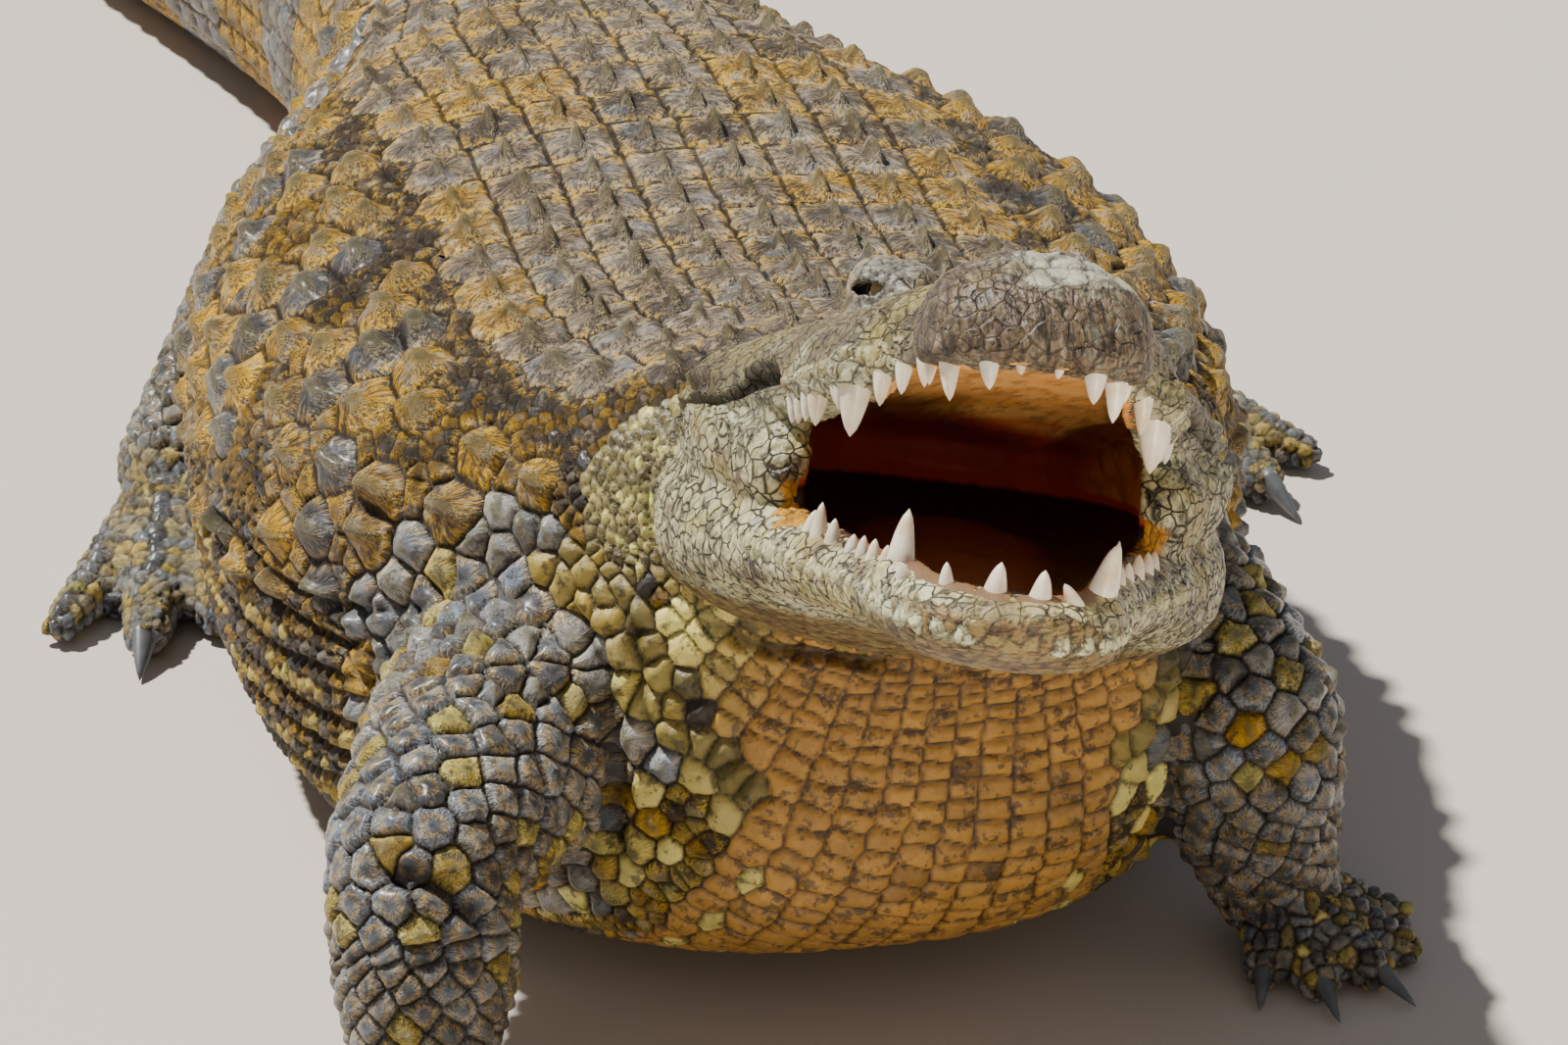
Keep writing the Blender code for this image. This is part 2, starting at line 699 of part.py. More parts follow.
def cut_apart(body):
    pieces = cut_legs(body)
    rest = separated(body)
    rest.sort(key=lambda piece: len(piece.data.polygons))
    middle = rest.pop()
    pieces += rest
    boolean(middle, bent_cut(NECK_CUT, 0.26), "DIFFERENCE")
    boolean(middle, bent_cut(JAW_CUT, 0.26), "DIFFERENCE")
    for centre, normal in BODY_CUTS:
        boolean(middle, plate(centre, normal, 1.4), "DIFFERENCE")
    return pieces + separated(middle)


def middle_of(obj):
    points = np.array([tuple(vertex.co) for vertex in obj.data.vertices])
    return Vector((points.min(axis=0) + points.max(axis=0)) / 2.0)


def name_pieces(pieces):
    named = {}
    for piece in pieces:
        middle = middle_of(piece)
        name = min(NODES, key=lambda key: (Vector(NODES[key][0]) - middle).length)
        piece.name = name
        piece.data.name = name
        named[name] = piece
    return named


def cone(base, tip, radius, sides=5, bend=None):
    """A tooth or claw: three rings from a root sunk in the flesh to a blunt point."""
    along = (tip - base).normalized()
    side = along.cross(Vector((0.31, 0.83, 0.46))).normalized()
    up = side.cross(along)
    bend = bend or Vector((0.0, 0.0, 0.0))
    rings = []
    for share, thick in ((-0.40, 1.0), (0.45, 0.78), (0.95, 0.20)):
        centre = base.lerp(tip, share) + bend * (share * (1.0 - share) if share > 0.0 else 0.0)
        rings.append(section(centre, side, up, radius * thick, radius * thick, radius * thick, 2.0, sides))
    return mesh_from_rings("cone", rings)


def column(table, ahead, index):
    return float(np.interp(ahead, [row[0] for row in table], [row[index] for row in table]))


def lip_height(node, ahead, side):
    """Height of the jaw's edge where a tooth stands, over the tooth line."""
    if node == "lower_jaw":
        top = column(LOWER_JAW, ahead, 2)
        middle = 0.5 * (top + column(LOWER_JAW, ahead, 3))
        share = min(side / column(LOWER_JAW, ahead, 1), 0.98)
        return middle + (top - middle) * (1.0 - share**2.5) ** 0.4 - 0.003
    share = min(side / column(UPPER_JAW, ahead, 1), 0.98)
    return 0.003 - column(UPPER_JAW, ahead, 3) * (1.0 - share**2.5) ** 0.4


def add_teeth(named):
    rows = (("head", UPPER_FRAME, UPPER_TEETH, -1.0), ("lower_jaw", LOWER_FRAME, LOWER_TEETH, 1.0))
    for node, frame, teeth, sign in rows:
        cones = []
        for ahead, side, length, radius in teeth:
            for hand in (-1.0, 1.0):
                root = jaw_point(frame, ahead, side * hand, lip_height(node, ahead, side))
                tip = root + (frame[2] * sign + frame[1] * (0.10 * hand) + frame[0] * 0.06) * length
                cones.append(cone(root, tip, radius))
        boolean(named[node], joined(cones, "teeth"), "UNION")


def add_claws(named):
    for leg in LEGS:
        kind = leg.split("_")[0]
        claws = []
        for index in CLAWED[kind]:
            near_tip, tip = toe_path(leg, index)[2:]
            along = (tip - near_tip).normalized()
            root = tip - along * 0.004 + Vector((0.0, 0.0, 0.002))
            point = root + along * FOOT_LENGTHS[kind]
            point.z = 0.009
            claws.append(cone(root, point, TOES[leg][index][1] * 0.52, 6, Vector((0.0, 0.0, 0.018))))
        boolean(named[leg + "_foot"], joined(claws, "claws"), "UNION")


def add_eyes(named):
    for name, side in (("eye_right", -1.0), ("eye_left", 1.0)):
        centre = jaw_point(UPPER_FRAME, 0.190, side * 0.060, 0.076)
        socket = ball("socket", centre, UPPER_FRAME, (EYE_RADIUS + EYE_CLEARANCE,) * 3, 2)
        boolean(named["head"], socket, "DIFFERENCE")
        eye = ball(name, centre, UPPER_FRAME, (EYE_RADIUS,) * 3, 2)
        eye.data.name = name
        named[name] = eye


def add_tongue(named):
    _, left, up = LOWER_FRAME
    rings = []
    for ahead, half_width, top in TONGUE:
        centre = jaw_point(LOWER_FRAME, ahead, 0.0, top)
        rings.append(section(centre, left, up, half_width, 0.010, 0.010, 2.6, 10))
    tongue = mesh_from_rings("tongue", rings)
    triangulated(tongue)
    boolean(named["lower_jaw"], grown(tongue, 2.0 * CUT_GAP), "DIFFERENCE")
    tongue.data.name = "tongue"
    named["tongue"] = tongue


def tail_at(steps, distance):
    return [float(np.interp(distance, steps, [row[k] for row in TAIL])) for k in range(4)]


def add_tail_crest(named):
    """Upright scutes: a row on each side of the tail's top, then one row on the middle."""
    middle_line = [Vector((x, y, 0.0)) for x, y, _, _ in TAIL]
    steps = [0.0]
    for before, after in zip(middle_line[:-1], middle_line[1:]):
        steps.append(steps[-1] + (after - before).length)
    spans = {"tail_base": [], "tail_middle": [], "tail_rear": [], "tail_tip": []}
    for start, length, node, offset, height in CREST:
        x, y, wide, high = tail_at(steps, start)
        x2, y2, _, high2 = tail_at(steps, start + length)
        along = Vector((x2 - x, y2 - y, 0.0)).normalized()
        across = Vector((along.y, -along.x, 0.0))
        hands = (-1.0, 1.0) if offset > 0.0 else (1.0,)
        for hand in hands:
            shift = across * (hand * offset * wide)
            drop = 0.5 * offset * offset * high
            low = Vector((x, y, high * 1.97 - 0.016 - drop)) + shift
            rear = Vector((x2, y2, high2 * 1.97 - 0.016 - drop)) + shift
            peak = low.lerp(rear, 0.80)
            peak.z = 0.5 * (low.z + rear.z) + 0.016 + height
            spans[node].append(wedge(low, rear, peak, across, 0.0055))
    for node, wedges in spans.items():
        boolean(named[node], joined(wedges, "crest"), "UNION")


def wedge(low, rear, peak, across, thick):
    front_top = low.lerp(peak, 0.55) + Vector((0.0, 0.0, 0.006))
    outline = (low, rear, peak.lerp(rear, 0.25), peak, front_top)
    share = (1.0, 1.0, 0.55, 0.30, 0.55)
    rings = []
    for sign in (-1.0, 1.0):
        rings.append([point + across * (sign * thick * part) for point, part in zip(outline, share)])
    return mesh_from_rings("wedge", rings)


def paint(obj, slot):
    material = bpy.data.materials.get(slot) or bpy.data.materials.new(slot)
    material.use_nodes = True
    shader = material.node_tree.nodes["Principled BSDF"]
    shader.inputs["Base Color"].default_value = (*COLOURS[slot], 1.0)
    shader.inputs["Roughness"].default_value = 0.25 if slot == "eye_gloss" else 0.6
    shader.inputs["Metallic"].default_value = 0.0
    obj.data.materials.clear()
    obj.data.materials.append(material)
    for polygon in obj.data.polygons:
        polygon.use_smooth = True


def centre_on_origin(objects):
    points = np.array([tuple(vertex.co) for obj in objects for vertex in obj.data.vertices])
    middle = (points.min(axis=0) + points.max(axis=0)) / 2.0
    shift = Vector((-middle[0], -middle[1], -points[:, 2].min()))
    print("shift", tuple(round(value, 5) for value in shift))
    for obj in objects:
        obj.data.transform(Matrix.Translation(shift))


def main():
    clear_scene()
    body = whole_body()
    named = name_pieces(cut_apart(body))
    add_teeth(named)
    add_claws(named)
    add_tail_crest(named)
    add_eyes(named)
    add_tongue(named)
    for name, obj in named.items():
        paint(obj, slot_of(name))
    centre_on_origin(list(named.values()))


def slot_of(name):
    if name.startswith("eye"):
        return "eye_gloss"
    if name == "tongue":
        return "tongue_flesh"
    return NODES[name][1]


main()
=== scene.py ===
import math
import random

import bmesh
import bpy
import numpy as np
from mathutils import Matrix, Vector
from mathutils.bvhtree import BVHTree
from mathutils.kdtree import KDTree


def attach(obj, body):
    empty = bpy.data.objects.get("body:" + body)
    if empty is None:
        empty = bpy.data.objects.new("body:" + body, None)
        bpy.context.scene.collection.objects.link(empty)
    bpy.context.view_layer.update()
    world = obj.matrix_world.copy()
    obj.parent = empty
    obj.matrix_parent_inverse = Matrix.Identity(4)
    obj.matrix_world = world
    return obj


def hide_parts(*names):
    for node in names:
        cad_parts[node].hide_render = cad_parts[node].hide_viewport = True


# Nile crocodile, jaws open. A smooth inner skin, and over it the horny scales as one displaced
# surface in pieces. The forms use the same sections as the solids.

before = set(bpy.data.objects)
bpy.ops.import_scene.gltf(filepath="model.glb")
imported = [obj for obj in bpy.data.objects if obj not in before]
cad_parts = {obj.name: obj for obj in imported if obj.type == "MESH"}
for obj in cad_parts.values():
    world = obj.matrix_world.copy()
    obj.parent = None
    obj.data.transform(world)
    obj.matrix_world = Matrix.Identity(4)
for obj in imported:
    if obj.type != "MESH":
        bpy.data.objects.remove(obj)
scene = bpy.context.scene
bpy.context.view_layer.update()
print("frame loaded")

pose = {
    "shift": np.array((-0.03345, -1.24275, 0.0)),
    "joint": np.array((0.075, 0.033, 0.420)),
    "yawUpper": -5.4,
    "yawLower": -7.6,
    "pitchUpper": 31.6,
    "pitchLower": 17.0,
    "roll": 8.5,
}
detail = {
    "frontVoxel": 0.0025,
    "rearVoxel": 0.0037,
    "frontCoarse": 0.0045,  # voxels of the joined forms, before the mouth and the eyes are cut
    "rearCoarse": 0.0070,
    "skinVoxel": 0.0110,
    "skinDepth": 0.0045,
    "meet": -0.790,  # y where the front and rear surfaces meet
    "neighbours": 6,
}
joint = pose["joint"] + pose["shift"]
rnd = random.Random(11)
hands = (-1.0, 1.0)  # right and left


def unit(vector):
    return vector / np.linalg.norm(vector)


def ease(value, low, high):
    share = np.clip((value - low) / (high - low), 0.0, 1.0)
    return share * share * (3.0 - 2.0 * share)


def runOf(line):
    # how far along a line each of its points is
    return np.concatenate(([0.0], np.cumsum(np.linalg.norm(np.diff(line, axis=0), axis=1))))


def valuesAt(place, run, table):
    return np.array([np.interp(place, run, column) for column in table.T])


def treeFrom(points):
    tree = KDTree(len(points))
    for index, point in enumerate(points):
        tree.insert(point, index)
    tree.balance()
    return tree


def lumps(points, size, seed, layers=7):
    # smooth noise of a few sine waves in random directions
    turn = 6.283
    dice = np.random.RandomState(seed)
    total = np.zeros(len(points))
    for _ in range(layers):
        way = dice.normal(size=3)
        way /= np.linalg.norm(way)
        total += np.sin(points @ way * (turn / size) * dice.uniform(0.6, 1.6) + dice.uniform(0.0, turn))
    return total / layers * 1.8


def jawAxes(yaw, pitch):
    yaw, pitch, roll = (math.radians(value) for value in (yaw, pitch, pose["roll"]))
    forward = np.array((math.sin(yaw) * math.cos(pitch), -math.cos(yaw) * math.cos(pitch), math.sin(pitch)))
    left = np.array((math.cos(yaw), math.sin(yaw), 0.0))
    up = np.cross(forward, left)
    return np.array((forward,
                     left * math.cos(roll) - up * math.sin(roll),
                     left * math.sin(roll) + up * math.cos(roll)))


upperAxes = jawAxes(pose["yawUpper"], pose["pitchUpper"])
lowerAxes = jawAxes(pose["yawLower"], pose["pitchLower"])
middleAxes = jawAxes((pose["yawUpper"] + pose["yawLower"]) / 2.0,
                     (pose["pitchUpper"] + pose["pitchLower"]) / 2.0)
toothedJaws = (("upper", upperAxes, -1.0), ("lower", lowerAxes, 1.0))  # name, axes, which way its teeth point


def jawPoint(axes, ahead, side, height):
    return joint + axes[0] * ahead + axes[1] * side + axes[2] * height


def inJaw(axes, points):
    return (points - joint) @ axes.T


def smoothRows(rows, steps):
    # Hermite curve through rows of numbers, with this many steps from one row to the next
    rows = np.array(rows, float)
    slope = np.gradient(rows, axis=0)
    t = np.linspace(0.0, 1.0, steps, endpoint=False)[:, None]
    parts = []
    for index in range(len(rows) - 1):
        parts.append((2 * t**3 - 3 * t**2 + 1) * rows[index] + (t**3 - 2 * t**2 + t) * slope[index]
                     + (3 * t**2 - 2 * t**3) * rows[index + 1] + (t**3 - t**2) * slope[index + 1])
    return np.vstack(parts + [rows[-1:]])


def ring(centre, side, up, halfWidth, height, depth, above, below, count=64):
    # a superellipse, squarer the larger the numbers above and below are
    angle = np.linspace(0.0, 2.0 * math.pi, count, endpoint=False)
    cos, sin = np.cos(angle), np.sin(angle)
    power = np.where(sin > 0.0, 2.0 / above, 2.0 / below)
    across = halfWidth * np.sign(cos) * np.abs(cos) ** power
    over = np.where(sin > 0.0, height, depth) * np.sign(sin) * np.abs(sin) ** power
    return centre + across[:, None] * side + over[:, None] * up


def loft(rings):
    rings = np.array(rings)
    rows, count = rings.shape[:2]
    start = (np.arange(rows - 1)[:, None] * count + np.arange(count)).ravel()
    after = (np.arange(rows - 1)[:, None] * count + (np.arange(count) + 1) % count).ravel()
    faces = np.stack((start, after, after + count, start + count), 1).tolist()
    faces.append(list(range(count))[::-1])
    faces.append(list(range((rows - 1) * count, rows * count)))
    mesh = bpy.data.meshes.new("form")
    mesh.from_pydata(rings.reshape(-1, 3).tolist(), [], faces)
    builder = bmesh.new()
    builder.from_mesh(mesh)
    bmesh.ops.recalc_face_normals(builder, faces=builder.faces)
    bpy.data.meshes.remove(mesh)
    return builder


def ball(centre, axes, radii, fineness=4):
    builder = bmesh.new()
    bmesh.ops.create_icosphere(builder, subdivisions=fineness, radius=1.0)
    basis = Matrix([(axes[k] * radii[k]).tolist() for k in range(3)]).transposed().to_4x4()
    bmesh.ops.transform(builder, matrix=Matrix.Translation(Vector(centre)) @ basis, verts=builder.verts)
    return builder


def linked(name, data):
    obj = bpy.data.objects.new(name, data)
    scene.collection.objects.link(obj)
    return obj


def objectFrom(name, builders):
    whole = bmesh.new()
    for builder in builders:
        mesh = bpy.data.meshes.new("part")
        builder.to_mesh(mesh)
        builder.free()
        whole.from_mesh(mesh)
        bpy.data.meshes.remove(mesh)
    mesh = bpy.data.meshes.new(name)
    whole.to_mesh(mesh)
    whole.free()
    return linked(name, mesh)


def settle(obj):
    bpy.context.view_layer.update()
    mesh = bpy.data.meshes.new_from_object(obj.evaluated_get(bpy.context.evaluated_depsgraph_get()))
    old = obj.data
    obj.modifiers.clear()
    obj.data = mesh
    bpy.data.meshes.remove(old)


def remesh(obj, voxel, smoothing):
    change = obj.modifiers.new("remesh", "REMESH")
    change.mode = "VOXEL"
    change.voxel_size = voxel
    relax = obj.modifiers.new("relax", "SMOOTH")
    relax.factor = 0.5
    relax.iterations = smoothing
    settle(obj)


def carve(obj, cutter):
    change = obj.modifiers.new("cut", "BOOLEAN")
    change.operation = "DIFFERENCE"
    change.solver = "EXACT"
    change.object = cutter
    settle(obj)
    bpy.data.objects.remove(cutter, do_unlink=True)


# head forms: distance ahead of the jaw joint, half width, height over the lip line, depth under it.
# Swellings: ahead, from the middle, height and radii
upperJaw = {
    "rows": ((-0.060, 0.120, 0.050, 0.030), (-0.030, 0.166, 0.052, 0.020), (0.010, 0.180, 0.062, 0.016),
             (0.060, 0.182, 0.068, 0.014), (0.120, 0.172, 0.070, 0.016), (0.180, 0.152, 0.070, 0.026),
             (0.240, 0.136, 0.068, 0.027), (0.300, 0.124, 0.066, 0.023), (0.350, 0.114, 0.064, 0.018),
             (0.400, 0.108, 0.064, 0.021), (0.440, 0.090, 0.063, 0.011), (0.478, 0.063, 0.060, -0.002),
             (0.510, 0.069, 0.062, 0.006), (0.545, 0.074, 0.064, 0.012), (0.580, 0.067, 0.055, 0.012),
             (0.602, 0.049, 0.036, 0.007), (0.613, 0.022, 0.016, 0.001)),
    "table": ((-0.030, 0.050, 0.066), (-0.016, 0.070, 0.090), (0.060, 0.068, 0.094), (0.130, 0.060, 0.092),
              (0.150, 0.046, 0.076)),
    "brow": (0.176, 0.047, 0.070, (0.046, 0.026, 0.032)),
    "nostril": (0.545, 0.015, 0.052, (0.034, 0.022, 0.017)),
    "lid": (0.181, 0.066, 0.081, (0.029, 0.0240, 0.0230)),
    "eye": (0.190, 0.060, 0.076),
    "eyeRadius": 0.0175,
    "eyeCut": (0.003, 0.013, 0.002),  # ahead, outward and up of the eye
    "eyeCutRadii": (0.0165, 0.014, 0.0055),
    "tableFoot": 0.045,
}
lowerJaw = {
    "rows": ((-0.060, 0.120, 0.010, -0.110), (-0.030, 0.165, 0.020, -0.130), (0.020, 0.186, 0.026, -0.135),
             (0.080, 0.190, 0.022, -0.128), (0.140, 0.182, 0.014, -0.115), (0.200, 0.165, 0.004, -0.098),
             (0.260, 0.144, 0.000, -0.082), (0.320, 0.124, 0.000, -0.070), (0.380, 0.105, 0.000, -0.062),
             (0.440, 0.089, 0.004, -0.056), (0.500, 0.081, 0.010, -0.053), (0.545, 0.075, 0.010, -0.050),
             (0.580, 0.062, 0.007, -0.042), (0.602, 0.043, 0.002, -0.031), (0.613, 0.020, -0.005, -0.021)),
    "cheek": (0.085, 0.138, 0.016, (0.125, 0.046, 0.050)),
    "corner": (0.178, 0.123, 0.012, (0.082, 0.036, 0.040)),
    "lipCorner": (0.272, 0.114, -0.006),
}
mouth = {
    "rows": ((0.005, 0.040, 0.040, 0.010, -0.015), (0.030, 0.090, 0.085, 0.016, -0.030),
             (0.090, 0.116, 0.110, 0.020, -0.040), (0.160, 0.118, 0.118, 0.020, -0.042),
             (0.230, 0.108, 0.112, 0.018, -0.042), (0.300, 0.094, 0.096, 0.016, -0.038),
             (0.370, 0.082, 0.078, 0.014, -0.034), (0.430, 0.070, 0.064, 0.013, -0.030),
             (0.490, 0.051, 0.054, 0.012, -0.026), (0.540, 0.050, 0.046, 0.010, -0.020),
             (0.572, 0.034, 0.030, 0.006, -0.012), (0.586, 0.012, 0.010, 0.001, -0.006)),
}
neckLine = ((-0.022, 0.265), (-0.020, 0.016), (-0.046, -0.006), (-0.056, -0.050), (-0.045, -0.090),
            (-0.005, -0.112), (0.046, -0.125), (0.076, -0.155), (0.151, -0.233))
# teeth: distance ahead and from the middle (right negative), length, radius, lean ahead and outward
teeth = {
    "upper": ((0.268, -0.122, 0.013, 0.0050, 0.0, 0.1), (0.284, -0.119, 0.015, 0.0054, 0.0, 0.1),
              (0.303, -0.116, 0.016, 0.0056, 0.0, 0.1), (0.325, -0.111, 0.021, 0.0088, 0.0, 0.1),
              (0.366, -0.104, 0.012, 0.0054, 0.1, 0.0), (0.384, -0.102, 0.016, 0.0062, 0.0, 0.1),
              (0.414, -0.094, 0.036, 0.0132, 0.0, 0.12), (0.440, -0.081, 0.021, 0.0076, 0.0, 0.1),
              (0.458, -0.070, 0.018, 0.0068, 0.0, 0.1), (0.475, -0.060, 0.017, 0.0060, 0.0, 0.0),
              (0.510, -0.058, 0.015, 0.0048, 0.0, 0.1), (0.524, -0.060, 0.014, 0.0045, 0.0, 0.1),
              (0.566, -0.053, 0.025, 0.0080, 0.1, 0.0), (0.588, -0.031, 0.018, 0.0078, 0.1, 0.0),
              (0.592, -0.012, 0.008, 0.0045, 0.1, 0.0), (0.592, 0.012, 0.008, 0.0045, 0.1, 0.0),
              (0.586, 0.034, 0.020, 0.0086, 0.1, 0.1), (0.566, 0.049, 0.027, 0.0088, 0.0, 0.1),
              (0.524, 0.060, 0.014, 0.0050, 0.0, 0.1), (0.475, 0.060, 0.016, 0.0062, 0.0, 0.0),
              (0.440, 0.081, 0.022, 0.0076, 0.0, 0.1), (0.412, 0.092, 0.038, 0.0136, 0.0, 0.1),
              (0.378, 0.098, 0.026, 0.0090, 0.0, 0.1), (0.348, 0.101, 0.015, 0.0060, 0.0, 0.1),
              (0.322, 0.108, 0.020, 0.0076, 0.0, 0.1), (0.296, 0.112, 0.015, 0.0058, 0.0, 0.1),
              (0.272, 0.118, 0.013, 0.0054, 0.0, 0.1)),
    "lower": ((0.318, -0.107, 0.015, 0.0066, 0.1, 0.0), (0.335, -0.102, 0.022, 0.0070, 0.0, 0.1),
              (0.358, -0.095, 0.016, 0.0064, 0.1, 0.1), (0.392, -0.085, 0.011, 0.0058, 0.1, 0.1),
              (0.412, -0.080, 0.012, 0.0054, 0.0, 0.1), (0.436, -0.075, 0.013, 0.0058, 0.0, 0.1),
              (0.470, -0.070, 0.012, 0.0056, 0.0, 0.1),
              (0.503, -0.064, 0.036, 0.0108, -0.05, 0.05), (0.535, -0.061, 0.012, 0.0070, 0.6, 0.7),
              (0.569, -0.040, 0.015, 0.0058, 0.1, 0.2), (0.585, -0.013, 0.020, 0.0088, 0.1, 0.0),
              (0.586, 0.014, 0.019, 0.0086, 0.1, 0.15), (0.573, 0.042, 0.024, 0.0070, 0.9, -0.5),
              (0.543, 0.053, 0.034, 0.0106, 0.1, 0.25), (0.516, 0.061, 0.034, 0.0076, 0.0, 0.2),
              (0.470, 0.070, 0.012, 0.0056, 0.0, 0.1), (0.436, 0.075, 0.013, 0.0058, 0.0, 0.1),
              (0.404, 0.082, 0.013, 0.0058, 0.0, 0.1), (0.372, 0.091, 0.012, 0.0056, 0.0, 0.1),
              (0.344, 0.100, 0.015, 0.0062, 0.0, 0.1), (0.316, 0.109, 0.014, 0.0060, 0.0, 0.1),
              (0.290, 0.116, 0.012, 0.0056, 0.0, 0.1)),
}

# trunk: x, y, z of the section centre, pitch, half width, height, depth, squareness above and below.
# Tail: x, y, half width and half height
trunk = {
    "rows": ((0.075, -0.010, 0.430, 26.0, 0.120, 0.050, 0.080, 2.3, 2.3),
             (0.070, 0.040, 0.405, 28.0, 0.178, 0.095, 0.180, 2.3, 2.3),
             (0.052, 0.095, 0.362, 33.0, 0.214, 0.125, 0.262, 2.4, 2.5),
             (0.030, 0.150, 0.315, 30.0, 0.254, 0.145, 0.292, 2.4, 2.8),
             (0.016, 0.215, 0.285, 20.0, 0.304, 0.158, 0.283, 2.4, 3.6),
             (0.006, 0.300, 0.258, 11.0, 0.342, 0.172, 0.258, 2.4, 4.2),
             (0.002, 0.400, 0.237, 5.0, 0.366, 0.186, 0.242, 2.4, 4.0),
             (0.000, 0.520, 0.222, 1.0, 0.374, 0.200, 0.226, 2.35, 3.3),
             (-0.006, 0.650, 0.214, 0.0, 0.356, 0.206, 0.218, 2.35, 2.9),
             (-0.016, 0.770, 0.208, 0.0, 0.314, 0.204, 0.212, 2.3, 2.6),
             (-0.022, 0.880, 0.200, 0.0, 0.254, 0.198, 0.204, 2.3, 2.5),
             (-0.018, 0.980, 0.192, 0.0, 0.214, 0.190, 0.195, 2.25, 2.4),
             (-0.010, 1.080, 0.182, 0.0, 0.200, 0.178, 0.185, 2.2, 2.3)),
    "tail": ((-0.004, 1.200, 0.186, 0.166), (-0.015, 1.330, 0.163, 0.153), (-0.040, 1.460, 0.143, 0.141),
             (-0.078, 1.590, 0.124, 0.131), (-0.138, 1.740, 0.107, 0.121), (-0.212, 1.900, 0.090, 0.111),
             (-0.288, 2.070, 0.074, 0.100), (-0.350, 2.250, 0.058, 0.088), (-0.385, 2.430, 0.045, 0.075),
             (-0.392, 2.610, 0.033, 0.061), (-0.370, 2.780, 0.024, 0.046), (-0.322, 2.930, 0.015, 0.031),
             (-0.264, 3.040, 0.009, 0.018)),
    "tailSink": 0.985,  # height of a tail section's centre as a share of its half height
    "tailSquareness": 2.18,
}
legs = {  # x, y, z and radius, from inside the body to the wrist or ankle
    "armRight": ((-0.140, 0.200, 0.205, 0.110), (-0.218, 0.090, 0.200, 0.092), (-0.288, -0.030, 0.185, 0.068),
                 (-0.298, -0.070, 0.120, 0.063), (-0.304, -0.092, 0.056, 0.048)),
    "armLeft": ((0.160, 0.220, 0.208, 0.120), (0.242, 0.140, 0.203, 0.100), (0.290, 0.050, 0.185, 0.070),
                (0.303, 0.050, 0.115, 0.060), (0.320, 0.064, 0.055, 0.046)),
    "legRight": ((-0.095, 1.120, 0.178, 0.118), (-0.148, 1.050, 0.182, 0.098), (-0.226, 0.970, 0.172, 0.072),
                 (-0.294, 0.905, 0.108, 0.056), (-0.350, 0.850, 0.055, 0.044)),
    "legLeft": ((0.095, 1.120, 0.178, 0.118), (0.152, 1.060, 0.180, 0.098), (0.254, 0.995, 0.160, 0.072),
                (0.346, 0.940, 0.104, 0.056), (0.415, 0.892, 0.055, 0.044)),
}
toes = {  # x and y of the tip, and radius
    "armRight": ((-0.236, -0.165, 0.015), (-0.262, -0.215, 0.017), (-0.315, -0.236, 0.017),
                 (-0.368, -0.212, 0.015), (-0.400, -0.155, 0.014)),
    "armLeft": ((0.296, -0.010, 0.015), (0.334, -0.036, 0.017), (0.380, -0.028, 0.017),
                (0.412, 0.006, 0.015), (0.420, 0.060, 0.014)),
    "legRight": ((-0.290, 0.690, 0.019), (-0.338, 0.652, 0.021), (-0.402, 0.632, 0.021),
                 (-0.464, 0.670, 0.017)),
    "legLeft": ((0.362, 0.745, 0.019), (0.425, 0.712, 0.021), (0.486, 0.724, 0.021), (0.535, 0.778, 0.017)),
}
# reach of a leg's own scales and of the knobs round its root, in leg radii, share of the toes that is webbed
legKinds = {
    "arm": {"reach": 1.62, "knobs": 1.50, "web": 0.52, "claw": 0.030},
    "leg": {"reach": 1.30, "knobs": 1.35, "web": 0.74, "claw": 0.034},
}
legJoints = {name: np.array(rows) + (*pose["shift"], 0.0) for name, rows in legs.items()}


def kindOf(name):
    return legKinds[name[:3]]


def spineRows():
    rows = [(x, y, z, math.radians(pitch), 0.0, wide, high, deep, above, below)
            for x, y, z, pitch, wide, high, deep, above, below in trunk["rows"]]
    slope = np.gradient(np.array(trunk["tail"])[:, :2], axis=0)
    square = trunk["tailSquareness"]
    for (x, y, wide, high), (dx, dy) in zip(trunk["tail"], slope):
        yaw = math.atan2(-dx, dy)
        rows.append((x, y, high * trunk["tailSink"], 0.0, yaw, wide, high, high, square, square))
    rows = np.array(rows)
    rows[:, :3] += pose["shift"]
    return rows


spine = smoothRows(spineRows(), 12)
spineLength = runOf(spine[:, :3])


def spineFrame(row):
    pitch, yaw = row[3], row[4]
    side = np.array((math.cos(yaw), math.sin(yaw), 0.0))
    back = np.array((-math.sin(yaw), math.cos(yaw), 0.0))
    up = back * math.sin(pitch) + np.array((0.0, 0.0, math.cos(pitch)))
    return side, up, back


def trunkForm(low, high):
    rows = [row for row in spine if low < row[1] < high]
    return loft([ring(row[:3], *spineFrame(row)[:2], *row[5:10]) for row in rows])


def swellings(shape, axes, keys):
    balls = []
    for hand in hands:
        for key in keys:
            ahead, side, height, radii = shape[key]
            balls.append(ball(jawPoint(axes, ahead, side * hand, height), axes, radii))
    return balls


def upperForms():
    _, side, up = upperAxes
    skull = [ring(jawPoint(upperAxes, ahead, 0.0, 0.0), side, up, wide, high, deep,
                  2.4 + 0.4 * ease(ahead, 0.46, 0.54), 2.5)
             for ahead, wide, high, deep in smoothRows(upperJaw["rows"], 4)]
    foot = upperJaw["tableFoot"]
    table = [ring(jawPoint(upperAxes, ahead, 0.0, foot), side, up, wide, top - foot, 0.030, 4.0, 4.0)
             for ahead, wide, top in upperJaw["table"]]
    return [loft(skull), loft(table)] + swellings(upperJaw, upperAxes, ("brow", "nostril", "lid"))


